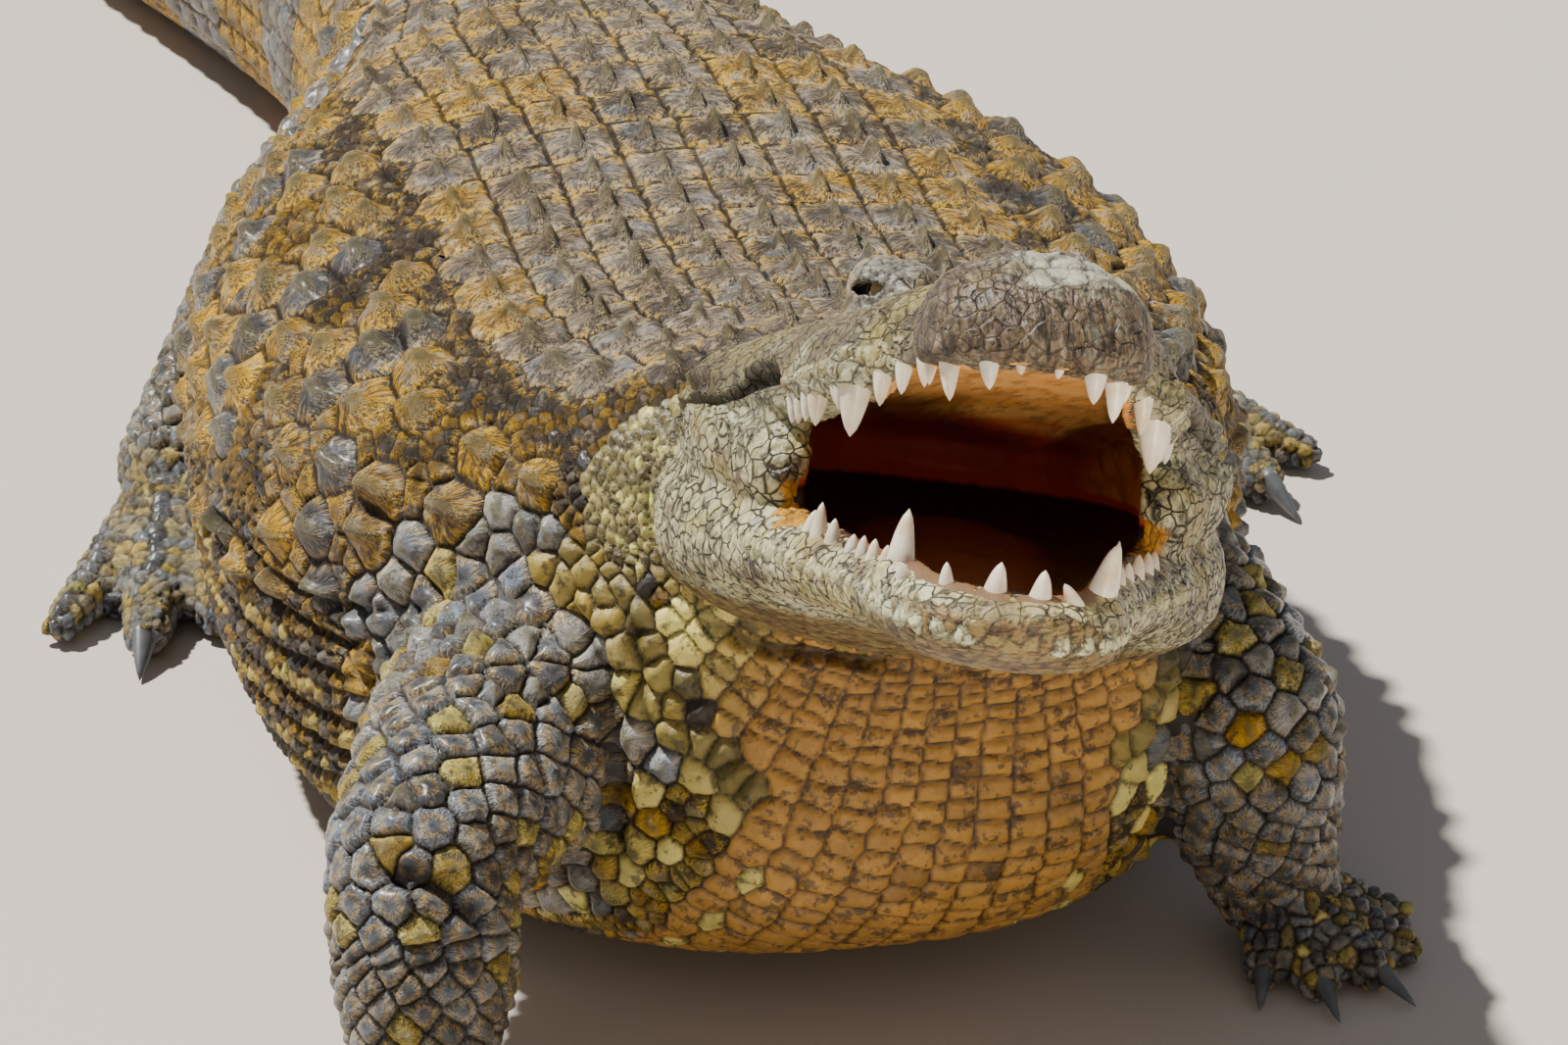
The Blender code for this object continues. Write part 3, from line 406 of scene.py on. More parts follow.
def lowerForms():
    _, side, up = lowerAxes
    jaw = [ring(jawPoint(lowerAxes, ahead, 0.0, (top + low) / 2.0), side, up,
                wide, (top - low) / 2.0, (top - low) / 2.0, 2.5, 2.5)
           for ahead, wide, top, low in smoothRows(lowerJaw["rows"], 4)]
    return [loft(jaw)] + swellings(lowerJaw, lowerAxes, ("cheek", "corner"))


def lipHeight(key, ahead, side):
    rows = np.array((lowerJaw if key == "lower" else upperJaw)["rows"])
    _, wide, top, low = valuesAt(ahead, rows[:, 0], rows)
    curve = (1.0 - min(side / wide, 0.98) ** 2.5) ** 0.4
    if key == "lower":
        middle = (top + low) / 2.0
        return middle + (top - middle) * curve - 0.003
    return 0.003 - low * curve


def gumForms():
    parts = []
    for key, axes, sign in toothedJaws:
        for ahead, side, _, radius, _, _ in teeth[key]:
            root = jawPoint(axes, ahead, side * (1.0 + 0.25 * radius / abs(side)),
                            lipHeight(key, ahead, abs(side)) - sign * 0.006)
            parts.append(ball(root, axes, (radius * 1.2, radius * 1.5, radius * 1.4), 2))
    return parts


def mouthRings(steps=4, half=20):
    angle = np.linspace(0.0, math.pi, half)
    across = np.sign(np.cos(angle)) * np.abs(np.cos(angle)) ** 0.7
    rise = np.abs(np.sin(angle)) ** 0.6
    rings = []
    for ahead, above, below, palate, floor in smoothRows(mouth["rows"], steps):
        top = [jawPoint(upperAxes, ahead, above * a, palate * r - 0.003) for a, r in zip(across, rise)]
        low = [jawPoint(lowerAxes, ahead, -below * a, 0.003 - abs(floor) * r) for a, r in zip(across, rise)]
        rings.append(top + low)
    return np.array(rings)


def tube(path, squareness=2.0, count=24):
    rings = []
    for index, (point, wide, high, deep) in enumerate(path):
        before = path[max(index - 1, 0)][0]
        after = path[min(index + 1, len(path) - 1)][0]
        forward = unit(after - before)
        side = np.cross(forward, (0.0, 0.0, 1.0))
        side = unit(side) if np.linalg.norm(side) > 0.2 else np.array((1.0, 0.0, 0.0))
        up = unit(np.cross(side, forward))
        rings.append(ring(point, side, up, wide, high, deep, squareness, squareness, count))
    return loft(rings)


def toePath(name, index):
    x, y, radius = toes[name][index]
    wrist = legJoints[name][-1, :3]
    tip = np.array((x, y, radius * 0.9)) + pose["shift"]
    line = [wrist + (tip - wrist) * share for share in (0.10, 0.55, 0.84, 1.0)]
    for point, height in zip(line, (0.042, 0.030, radius * 1.05, radius * 0.9)):
        point[2] = height
    return line


def legForms(name):
    joints = legJoints[name]
    parts = [tube([(row[:3], row[3], row[3], row[3]) for row in smoothRows(joints, 5)])]
    parts += [ball(row[:3], np.eye(3), (row[3],) * 3) for row in joints[1:]]
    paths = [toePath(name, index) for index in range(len(toes[name]))]
    for (base, middle, nearTip, tip), (_, _, radius) in zip(paths, toes[name]):
        parts.append(tube([(base, radius * 1.5, 0.030, 0.042),
                           (middle, radius * 1.15, radius * 1.05, 0.030),
                           (nearTip, radius, radius * 0.95, radius * 1.05),
                           (tip, radius * 0.72, radius * 0.62, radius * 0.9)]))
    wrist = joints[-1, :3]
    for first, second in zip(paths[:-1], paths[1:]):  # a web between two toes
        end = wrist + ((first[3] + second[3]) / 2.0 - wrist) * kindOf(name)["web"]
        end[2] = 0.009
        start = (first[0] + second[0]) / 2.0
        start[2] = 0.020
        width = np.linalg.norm(first[3] - second[3]) * 0.42
        parts.append(tube([(start, 0.030, 0.022, 0.020),
                           (start + (end - start) * 0.6, width * 0.8, 0.013, 0.015),
                           (end, width, 0.008, 0.010)]))
    return parts


def frontForm():
    parts = upperForms() + lowerForms() + gumForms() + [trunkForm(-math.inf, detail["meet"] + 0.16)]
    obj = objectFrom("frontForm", parts + legForms("armRight") + legForms("armLeft"))
    remesh(obj, detail["frontCoarse"], 5)
    carve(obj, objectFrom("mouthCavity", [loft(mouthRings())]))
    ahead, side, height = upperJaw["eye"]
    aheadBy, outBy, upBy = upperJaw["eyeCut"]
    for hand in hands:
        centre = jawPoint(upperAxes, ahead + aheadBy, (side + outBy) * hand, height + upBy)
        carve(obj, objectFrom("eyeOpening", [ball(centre, upperAxes, upperJaw["eyeCutRadii"], 3)]))
    return obj


def rearForm():
    parts = [trunkForm(detail["meet"] - 0.14, math.inf)]
    obj = objectFrom("rearForm", parts + legForms("legRight") + legForms("legLeft"))
    remesh(obj, detail["rearCoarse"], 5)
    return obj


def readValues(items, key, kind=float, width=3):
    values = np.empty(len(items) * width, kind)
    items.foreach_get(key, values)
    return values.reshape(-1, width) if width > 1 else values


def meshArrays(obj):
    mesh = obj.data
    return (readValues(mesh.vertices, "co"), readValues(mesh.vertex_normals, "vector"),
            readValues(mesh.loops, "vertex_index", int, 1), readValues(mesh.polygons, "loop_start", int, 1),
            readValues(mesh.polygons, "loop_total", int, 1))


front = frontForm()
rear = rearForm()
print("forms joined", len(front.data.vertices), len(rear.data.vertices))

skin = objectFrom("skinSource", [])
skinParts = bmesh.new()
for form in (front, rear):
    skinParts.from_mesh(form.data)
skinParts.to_mesh(skin.data)
skinParts.free()
remesh(front, detail["frontVoxel"], 3)
remesh(rear, detail["rearVoxel"], 3)
print("fine forms", len(front.data.vertices), len(rear.data.vertices))

frontMesh, rearMesh = meshArrays(front), meshArrays(rear)
frontPoints, frontNormals = frontMesh[:2]
rearPoints, rearNormals = rearMesh[:2]


# scales: every scale is a seed point with its own frame, size, relief and colour
paint = {
    "horn": (0.170, 0.125, 0.080),
    "bark": (0.210, 0.165, 0.120),
    "ochre": (0.640, 0.400, 0.110),
    "dark": (0.026, 0.026, 0.030),
    "blue": (0.165, 0.200, 0.250),
    "ash": (0.300, 0.285, 0.245),
    "cream": (0.440, 0.280, 0.130),
    "lime": (0.780, 0.740, 0.340),
    "olive": (0.290, 0.255, 0.130),
    "jaw": (0.215, 0.185, 0.105),
    "jawPale": (0.520, 0.500, 0.330),
    "mint": (0.580, 0.600, 0.430),
    "umber": (0.145, 0.110, 0.080),
    "tile": (0.380, 0.375, 0.330),
    "chinFoldAndShade": (0.200, 0.145, 0.080),
    "fold": (0.400, 0.225, 0.085),
    "lid": (0.400, 0.330, 0.230),
    "corner": (0.560, 0.330, 0.130),
    "legYellow": (0.480, 0.380, 0.150),
    "palate": (0.620, 0.290, 0.080),
    "belly": (0.620, 0.480, 0.220),
}
paint = {name: np.array(value) for name, value in paint.items()}
pieceNames = ["mouthLining", "coatSnout", "coatJaw", "coatThroat", "coatBack", "coatFlankRight",
              "coatFlankLeft", "coatBelly", "coatArmRight", "coatArmLeft", "coatRump", "coatTail",
              "coatTailEnd", "coatLegRight", "coatLegLeft"]
halvedPieces = ("coatBack", "coatFlankRight", "coatFlankLeft", "coatBelly")  # front and rear
seeds = []
pieceAt, clearAt = 11, 25  # places of the piece and of the room it keeps clear in a seed's row


def over(tone, other, share):
    return tone * (1.0 - share) + other * share


def mix(first, second, share):
    return over(paint[first], paint[second], share)


def addSeed(point, along, normal, size, piece, tone, weight=0.0, dome=0.0012, keel=0.0, groove=0.003,
            deep=0.0015, streak=0.0, tilt=0.0, crack=0.0, pit=0.0, wrinkle=0.0, clear=0.0, blade=0.24):
    normal = unit(normal)
    along = unit(along - normal * (along @ normal))
    across = np.cross(normal, along)
    room = max(clear, size * 1.25, 0.008)
    seeds.append((*point, *along, *across, size, weight, pieceNames.index(piece), dome, keel, groove, deep,
                  streak, tilt, crack, pit, rnd.random(), *tone, wrinkle, room, blade))


def spineRow(distance):
    return valuesAt(distance, spineLength, spine)


class HalfRing:
    # one side of the trunk's outline, from the middle of the back to the middle of the belly
    def __init__(self, distance, hand, count=60):
        row = spineRow(distance)
        side, up, self.back = spineFrame(row)
        angle = np.linspace(0.0, math.pi, count)
        cos, sin = np.cos(angle), np.sin(angle)
        power = np.where(cos > 0.0, 2.0 / row[8], 2.0 / row[9])
        across = row[5] * np.abs(sin) ** power * hand
        rise = np.where(cos > 0.0, row[6], row[7]) * np.sign(cos) * np.abs(cos) ** power
        self.centre = row[:3]
        self.line = row[:3] + across[:, None] * side + rise[:, None] * up
        self.arc = runOf(self.line)
        self.end = self.arc[-1]

    def at(self, where):
        point = valuesAt(where, self.arc, self.line)
        return point, unit(point - self.centre)


ringPlaces = []
ringPoints = []
for distance in np.arange(0.0, spineLength[-1], 0.008):
    for hand in hands:
        half = HalfRing(distance, hand, 45)
        ringPoints.extend(half.line)
        ringPlaces.extend((distance, place / half.end, hand) for place in half.arc)
ringTree = treeFrom(ringPoints)


def trunkPlace(point):
    # distance down the spine, share of the half ring, and side
    return ringPlaces[ringTree.find(point)[1]]


def rowDistances(share, start, end, first, last=None, reach=0.15):
    # distances down the spine; at this share of the half ring their spacing goes from first to last
    stations = np.linspace(start, end, 160)
    points = []
    for distance in stations:
        half = HalfRing(distance, 1.0, 40)
        points.append(half.at(share * half.end)[0])
    run = runOf(np.array(points))
    marks = [0.0]
    while marks[-1] < run[-1]:
        marks.append(marks[-1] + first + ((last or first) - first) * min(marks[-1] / reach, 1.0))
    return np.interp(marks[:-1], run, stations)


def legLine(name):
    line = smoothRows(legJoints[name], 12)
    return line, runOf(line[:, :3])


legLines = {name: legLine(name) for name in legs}


def legPlace(name, points):
    # how far down the leg a point is, from 0 to 1, and its distance from the leg's axis in leg radii
    line, run = legLines[name]
    gap = np.linalg.norm(points[:, None, :] - line[None, :, :3], axis=-1)
    near = gap.argmin(1)
    return run[near] / run[-1], gap[np.arange(len(points)), near] / line[near, 3]


def onShoulder(point):
    for name in legs:
        share, away = legPlace(name, np.array([point]))
        if share[0] > 0.16 and away[0] < kindOf(name)["reach"]:
            return True
    return False


def coatOf(leg):
    return "coat" + leg[0].upper() + leg[1:]


def tailPiece(y):
    if y <= 0.60:
        return "coatRump"
    return "coatTail" if y < 1.15 else "coatTailEnd"


def partOf(distance, share, hand):
    y = np.interp(distance, spineLength, spine[:, 1])
    if y > -0.10:
        return tailPiece(y)
    if y < -1.10 and share > 0.50:
        return "coatThroat"
    if share < flank["top"]:
        return "coatBack"
    if share > flank["bottom"]:
        return "coatBelly"
    return "coatFlankRight" if hand < 0.0 else "coatFlankLeft"


def crossBand(distance, hand, share):
    # dark cross bands, staggered on the two sides
    return 0.5 + 0.5 * math.sin(distance * 31.0 + hand * 0.9 + share * 3.0)


# shares of the half ring where the back's plates, the oval plates and the narrow scales end
flank = {"top": 0.27, "middle": 0.505, "bottom": 0.80, "plateReach": 0.205, "bandHeight": 0.0285}
tailStart = float(np.interp(0.02, spine[:, 1], spineLength))
napeStart = float(np.interp(-1.19, spine[:, 1], spineLength))


def dorsalScales():
    # keeled plates in cross rows, three or four a side, on to the tail
    distance = 0.05
    while distance < spineLength[-1] - 0.06:
        pitch = 0.060 if distance < tailStart + 0.9 else 0.052
        onTail = distance > tailStart
        for hand in hands:
            half = HalfRing(distance, hand, 90)
            reach = min(flank["plateReach"], half.end * (0.34 if onTail else flank["top"]))
            columns = max(1, int(round(reach / 0.047)))
            wide = reach / columns
            for column in range(columns):
                where = (column + 0.5) * wide
                point, normal = half.at(where)
                dice = rnd.random()
                tone = mix("bark", "ash", 0.50 * rnd.random()) * (0.75 + 0.5 * rnd.random())
                if rnd.random() < 0.06 + 0.13 * column:
                    tone = mix("bark", "ochre", 0.35 + 0.35 * dice)
                if crossBand(distance, hand, 0.0) > 0.7 and rnd.random() < 0.4:
                    tone = mix("horn", "dark", 0.6)
                rise = (0.0125 if column < 3 else 0.0100) * (0.55 + 0.5 * rnd.random())
                addSeed(point, half.back, normal, pitch * 0.5, partOf(distance, where / half.end, hand), tone,
                        weight=0.0010, dome=0.0008, keel=0.006 if onTail else rise, groove=0.0034,
                        deep=0.0024, streak=1.0, tilt=0.0016, clear=0.038, blade=0.13)
        distance += pitch


def flankScales():
    # oval plates in uneven rows down the side, with tufts of ridges on them
    for hand in hands:
        for index, distance in enumerate(np.arange(napeStart - 0.02, tailStart + 0.05, 0.056)):
            half = HalfRing(distance, hand, 90)
            where = min(flank["plateReach"], half.end * flank["top"]) + 0.028 + (0.024 if index % 2 else 0.0)
            while where < half.end * flank["middle"]:
                point, normal = half.at(where + rnd.uniform(-0.009, 0.009))
                point = point + unit(half.back) * rnd.uniform(-0.010, 0.010)
                share = where / half.end
                where += 0.047
                if rnd.random() < 0.10:
                    continue
                tone = mix("horn", "ochre", 0.35 + 0.6 * rnd.random()) * (0.8 + 0.5 * rnd.random())
                if crossBand(distance, hand, share * 4.0) > 0.68 and rnd.random() < 0.7:
                    tone = mix("dark", "blue", 0.4 * rnd.random())
                big = rnd.random()
                addSeed(point, half.back, normal, 0.024 + 0.005 * big, partOf(distance, share, hand), tone,
                        weight=0.00028 + 0.0002 * big, dome=0.0030, keel=0.0040 + 0.004 * big, groove=0.0050,
                        deep=0.0034, streak=1.0, tilt=0.0036, clear=0.022 + 0.006 * big, blade=0.26)


def sideScales():
    # narrow upright scales low on the flank, in long bands with folds between them
    for hand in hands:
        for number in range(11):
            for distance in rowDistances(0.55, 0.205, tailStart, 0.0118):
                half = HalfRing(distance, hand)
                where = half.end * flank["middle"] + 0.016 + number * flank["bandHeight"]
                if where > half.end * flank["bottom"]:
                    continue
                share = where / half.end
                point, normal = half.at(where + rnd.uniform(-0.003, 0.003))
                light = rnd.random()
                tone = mix("ochre", "lime", 0.20 + 0.45 * light) * (0.90 + 0.40 * light)
                if rnd.random() < 0.25:
                    tone = mix("horn", "ash", light)
                if math.sin(distance * 44.0 + number * 1.9 + hand) > -0.1 and rnd.random() < 0.75:
                    tone = mix("dark", "horn", 0.5 * rnd.random())
                addSeed(point, half.back, normal, 0.009, partOf(distance, share, hand), tone,
                        dome=0.0026, groove=0.0030, deep=0.0024, streak=0.55, tilt=0.0008)


def bellyScales():
    for distance in rowDistances(0.95, 0.235, tailStart, 0.0245):
        for hand in hands:
            half = HalfRing(distance, hand)
            where = half.end - 0.015
            while where > half.end * flank["bottom"]:
                point, normal = half.at(where)
                tone = mix("belly", "cream", rnd.random()) * (0.85 + 0.2 * rnd.random())
                addSeed(point, half.back, normal, 0.014, partOf(distance, where / half.end, hand), tone,
                        dome=0.0010, groove=0.0028, deep=0.0018, streak=0.05)
                where -= 0.030


def throatScales(columns=11):
    # tiles in rows across the throat that fan out from the chin, growing toward the chest
    for distance in rowDistances(0.98, 0.012, 0.235, 0.0062, 0.0172, 0.15):
        for hand in hands:
            for column in range(columns):
                spread = (column + 0.5 + rnd.uniform(-0.07, 0.07)) / columns
                share = 1.0 - 0.50 * spread**1.08
                fan = 0.085 * (1.0 - share) * float(ease(distance, 0.02, 0.12))
                here = distance + fan + rnd.uniform(-0.001, 0.001)
                if here > 0.084 and share < 0.80:
                    continue
                half = HalfRing(here, hand)
                point, normal = half.at(share * half.end)
                lime = float(ease(spread, 0.50, 0.90))
                tone = mix("cream", "lime", lime) * (0.84 + 0.26 * rnd.random())
                if rnd.random() < 0.05:
                    tone = tone * 0.55
                addSeed(point, half.back, normal, 0.012, "coatThroat", tone, dome=0.0013 + 0.0012 * lime,
                        groove=0.0030, deep=0.0028, streak=0.03, tilt=0.0006, clear=0.022)


def neckGrowth(distance, share):
    # 0 for the knobs under the angle of the jaw, 1 for the large tiles on the side of the neck
    return ease(distance, 0.085, 0.15) * ease(share, 0.50, 0.62)


def neckScales():
    inside, _ = headMask(frontPoints)
    near = np.flatnonzero((frontPoints[:, 1] < -1.10) & ~inside)
    places = np.array([trunkPlace(point) for point in frontPoints[near].tolist()])
    down, share = places[:, 0], places[:, 1]
    wanted = (down > 0.02) & (down < 0.235) & (share > 0.45) & (share < 0.84)
    for name in ("armRight", "armLeft"):
        along, away = legPlace(name, frontPoints[near])
        wanted &= (along < 0.14) | (away > 1.25)
    mask = np.zeros(len(frontPoints), bool)
    mask[near[wanted]] = True
    grown = np.ones(len(frontPoints))
    grown[near] = neckGrowth(down, share)

    def rule(point, normal):
        distance, share, _ = trunkPlace(point)
        large = float(neckGrowth(distance, share))
        pale = rnd.random()
        tone = mix("legYellow", "olive", pale) * (0.6 + 0.4 * rnd.random()) * (1.0 - large)
        tone = tone + mix("lime", "cream", 0.45 * pale) * (0.85 + 0.25 * rnd.random()) * large
        if rnd.random() < 0.07 + 0.10 * float(ease(distance, 0.17, 0.20)):
            tone = mix("dark", "horn", 0.4 * pale)
        # knobs under the jaw's angle are darkened: painted shade of the head
        if distance < 0.12 and share > 0.52:
            tone = tone * 0.62
        addSeed(point, spineFrame(spineRow(distance))[2], normal, 0.013, "coatThroat", tone,
                dome=0.0046 - 0.0032 * large, groove=0.0034, deep=0.0034 - 0.0008 * large, streak=0.06,
                tilt=0.0008, clear=0.018)

    blockers = [(seed[:3], 0.017) for seed in seeds if seed[1] < -1.0]
    return scatter(frontPoints, frontNormals, mask, 0.0150 + 0.0215 * grown, blockers, rule)


def tailScales():
    # upright oblong scales on the sides of the tail, broad plates under it
    distance = tailStart
    while distance < spineLength[-1] - 0.03:
        for hand in hands:
            half = HalfRing(distance, hand)
            tail = distance - tailStart
            start = min(0.20, half.end * 0.34)
            count = max(2, int((half.end - start) / 0.032))
            for number in range(count):
                where = start + (number + 0.5) * (half.end - start) / count
                share = where / half.end
                point, normal = half.at(where)
                dark = crossBand(distance * 0.8, hand * 0.2, share * 0.3) > 0.62
                tone = mix("ochre", "horn", 0.35 * rnd.random() + 0.3 * ease(tail, 0.4, 1.4))
                if dark and share < 0.9:
                    tone = mix("dark", "blue", 0.8 * rnd.random())
                if share > 0.82:
                    tone = mix("belly", "ochre", 0.5 * rnd.random())
                addSeed(point, half.back, normal, 0.019, tailPiece(point[1]), tone, dome=0.0020,
                        keel=0.0015 if share < 0.7 else 0.0, groove=0.0035, deep=0.0022, streak=0.8,
                        tilt=0.0010)
        distance += 0.031


def surfaceOf(obj):
    return BVHTree.FromPolygons([tuple(v.co) for v in obj.data.vertices],
                                [tuple(p.vertices) for p in obj.data.polygons])


def legTone(below, light):
    tone = mix("blue", "ash", 0.7 * light) * (0.80 + 1.3 * rnd.random())
    if rnd.random() < 0.17 + 0.40 * below:
        tone = mix("legYellow", "lime", 0.9 * light) * (0.85 + 0.3 * rnd.random())
    if rnd.random() < 0.16:
        tone = mix("dark", "blue", 0.6)
    return tone


def legScales(name):
    # cross rings of plates down the leg
    surface = surfaceOf(front if name.startswith("arm") else rear)
    line, run = legLines[name]
    distance = 0.03
    row = 0
    while distance < run[-1] + 0.012:
        here = valuesAt(distance, run, line)
        ahead = valuesAt(min(distance + 0.01, run[-1]), run, line[:, :3])
        along = unit(ahead - valuesAt(min(distance, run[-1]) - 0.01, run, line[:, :3]))
        share = distance / run[-1]
        pitch = 0.027 - 0.014 * ease(share, 0.15, 0.65)
        width = 0.040 - 0.012 * ease(share, 0.2, 0.9)
        side = unit(np.cross(along, (0.0, 0.0, 1.0)) + 1e-6)
        up = np.cross(side, along)
        count = max(6, int(2.0 * math.pi * here[3] / width))
        for number in range(count):
            angle = 2.0 * math.pi * (number + 0.37 * row + rnd.uniform(-0.05, 0.05)) / count
            way = side * math.cos(angle) + up * math.sin(angle)
            hit, normal, _, gap = surface.find_nearest(Vector(here[:3] + way * here[3]))
            if hit is None or gap > 0.020 or normal.dot(Vector(way)) < 0.2:
                continue
            addSeed(np.array(hit), along, np.array(normal), pitch * 0.5, coatOf(name),
                    legTone(float(ease(-way[2], 0.1, 0.8)), rnd.random()), weight=0.00002,
                    dome=0.0036 - 0.0012 * share, groove=0.0028, deep=0.0042, streak=0.80, tilt=0.0014,
                    clear=0.0145)
        distance += pitch
        row += 1
    toeScales(name, surface)


def toeScales(name, surface, pitch=0.0125):
    # narrow plates across the toes
    for index, (_, _, radius) in enumerate(toes[name]):
        path = toePath(name, index)
        base, tip = path[0], path[-1]
        length = np.linalg.norm(tip - base)
        along = unit(tip - base)
        side = np.cross(along, (0.0, 0.0, 1.0))
        for step in range(int(length / pitch) + 1):
            share = min(step * pitch / length, 1.0)
            spot = base + (tip - base) * share
            spot[2] = 0.04 - 0.025 * share
            for hand, drop in ((0.0, 0.0), (-1.0, 0.5), (1.0, 0.5)):
                guess = spot + side * hand * radius * 1.15 - np.array((0.0, 0.0, drop * radius))
                hit, normal, _, _ = surface.find_nearest(Vector(guess))
                addSeed(np.array(hit), along, np.array(normal), 0.008, coatOf(name),
                        legTone(0.0, rnd.random()), dome=0.0028, groove=0.0024, deep=0.0026, streak=0.7,
                        tilt=0.0010, clear=0.011)


def shoulderScales():
    # large uneven knobs where the legs leave the body
    total = 0
    blockers = [(seed[:3], seed[clearAt] + 0.004) for seed in seeds]
    for names, points, normals in ((("armRight", "armLeft"), frontPoints, frontNormals),
                                   (("legRight", "legLeft"), rearPoints, rearNormals)):
        inside, _ = headMask(points)
        for name in names:
            root = legJoints[name][1, :3]
            near = np.flatnonzero((np.linalg.norm(points - root, axis=1) < 0.30) & ~inside)
            share, away = legPlace(name, points[near])
            mask = np.zeros(len(points), bool)
            mask[near[(share > 0.12) & (share < 0.995) & (away < kindOf(name)["knobs"])]] = True

            def rule(point, normal):
                below = float(ease(-normal[1], 0.35, 0.9)) * float(ease(0.25 - point[2], 0.0, 0.12))
                tone = legTone(below, rnd.random())
                if rnd.random() < 0.25:
                    tone = mix("ochre", "legYellow", rnd.random())
                addSeed(point, np.array((0.0, 0.6, 0.5)), normal, 0.014, coatOf(name), tone,
                        weight=0.00006 * rnd.random(), dome=0.0046, keel=0.0020, groove=0.0050, deep=0.0044,
                        streak=0.50, tilt=0.0018, clear=0.016)

            total += scatter(points, normals, mask, np.full(len(points), 0.0215), blockers, rule)
    return total


def scatter(points, normals, mask, reach, blockers, rule):
    # dart throwing: fills the masked surface with seeds no closer than the reach
    grid = {}
    tree = treeFrom([point for point, _ in blockers])
    order = np.flatnonzero(mask)
    np.random.RandomState(5).shuffle(order)
    cell = reach.max()
    steps = [(a, b, c) for a in (-1, 0, 1) for b in (-1, 0, 1) for c in (-1, 0, 1)]
    spots = points.tolist()

    def crowded(spot, i, j, k, limit):
        x, y, z = spot
        for a, b, c in steps:
            for u, v, w in grid.get((i + a, j + b, k + c), ()):
                if (u - x) ** 2 + (v - y) ** 2 + (w - z) ** 2 < limit:
                    return True
        _, near, distance = tree.find(spot)
        return distance < blockers[near][1]

    chosen = []
    for index in order.tolist():
        spot = spots[index]
        place = tuple(int(value // cell) for value in spot)
        if not crowded(spot, *place, reach[index] ** 2):
            grid.setdefault(place, []).append(spot)
            chosen.append(index)
    for index in chosen:
        rule(points[index], normals[index])
    return len(chosen)


def headMask(points):
    spot = inJaw(middleAxes, points)
    line = np.array(sorted((height, ahead) for ahead, height in neckLine))
    return (spot[:, 0] > np.interp(spot[:, 2], line[:, 0], line[:, 1])) & (spot[:, 1] > -0.3), spot


def liningSeeds():
    def smoothSeed(point, along, facing):
        addSeed(point, along, facing, 0.02, "mouthLining", paint["palate"], dome=0.0, deep=0.0)

    rings = mouthRings(9, 40)
    for number, (row, centre) in enumerate(zip(rings, rings.mean(axis=1))):
        for point in row:
            smoothSeed(point, middleAxes[0], centre - point)
            if number in (0, len(rings) - 1):  # the flat ends
                for share in (0.75, 0.5, 0.25):
                    smoothSeed(centre + (point - centre) * share, middleAxes[1],
                               middleAxes[0] * (1.0 if number == 0 else -1.0))


def lipScales():
    # upright plates along both lips, with notches between them
    surface = surfaceOf(front)
    for key, axes, sign, spacing in (("lower", lowerAxes, 1.0, 0.0185), ("upper", upperAxes, -1.0, 0.0150)):
        upper = key == "upper"
        rows = smoothRows((upperJaw if upper else lowerJaw)["rows"], 12)
        rows = rows[(rows[:, 0] > 0.25) & (rows[:, 0] < 0.612)]
        run = np.concatenate(([0.0], np.cumsum(np.hypot(np.diff(rows[:, 0]), np.diff(rows[:, 1])))))
        for hand in hands:
            for place in np.arange(0.5 * spacing, run[-1], spacing):
                ahead, wide = (float(value) for value in valuesAt(place, run, rows[:, :2]))
                if upper and ahead > 0.46:
                    continue
                height = lipHeight(key, ahead, wide * 0.9) - sign * 0.013
                outward = unit(axes[1] * hand * (1.0 - float(ease(ahead, 0.57, 0.61))) + axes[0] * 0.35)
                guess = jawPoint(axes, ahead, wide * 1.02 * hand, height)
                hit, normal, _, gap = surface.find_nearest(Vector(guess))
                if gap > 0.02 or normal.dot(Vector(outward)) < 0.0:
                    continue
                fresh = float(ease(ahead, 0.36, 0.46))
                pale = rnd.random()
                tone = mix("jawPale", "mint", fresh * (0.5 + 0.5 * pale))
                if upper:
                    tone = mix("jaw", "jawPale", 0.3 + 0.5 * pale * (1.0 - fresh))
                addSeed(np.array(hit), -axes[0], np.array(normal), 0.010, "coatSnout" if upper else "coatJaw",
                        tone, weight=0.00003, dome=0.0028, groove=0.0020, deep=0.0018, crack=0.35, pit=0.8,
                        clear=0.0125)


def headZones(points):
    # share of a place in the knobs under the jaw's angle, the granules behind the joint, the nose's tiles
    ahead, _, height = inJaw(middleAxes, points).T
    overAhead, overSide, overHeight = inJaw(upperAxes, points).T
    knobs = ease(-height, 0.095, 0.115) * ease(-ahead, -0.05, -0.02)
    behind = ease(-ahead, -0.015, 0.010) * (1.0 - knobs)
    tiles = ease(overAhead, 0.52, 0.55) * ease(overHeight, 0.034, 0.044) * ease(overSide, -0.030, -0.010)
    return knobs, behind, tiles


def upperTone(point, pale, tiles):
    # tone, cracks, pits and wrinkles of the upper jaw
    ahead, _, height = inJaw(upperAxes, point)
    snout = float(ease(ahead, 0.47, 0.51)) * (1.0 - tiles)
    lobe = float(ease(0.022 - height, 0.0, 0.03)) * (1.0 - snout)
    tone = over(mix("jaw", "jawPale", 0.45 * pale), mix("jaw", "mint", 0.3 + 0.5 * pale), lobe)
    tone = over(tone * (0.72 + 0.28 * lobe), mix("umber", "jaw", 0.4 * pale), snout)
    tone = over(tone, mix("tile", "jawPale", 0.4 * pale), tiles)
    lid = np.abs(inJaw(upperAxes, point)) - np.array(upperJaw["lid"][:3])
    if np.linalg.norm(lid) < 0.036:
        tone = mix("lid", "ash", float(ease(lid[0], 0.000, 0.016))) * (0.85 + 0.2 * pale)
        return tone, 0.0, 0.3, snout
    return tone, 0.45 + 0.2 * (1.0 - snout) - 0.5 * tiles, 1.0 - tiles, snout


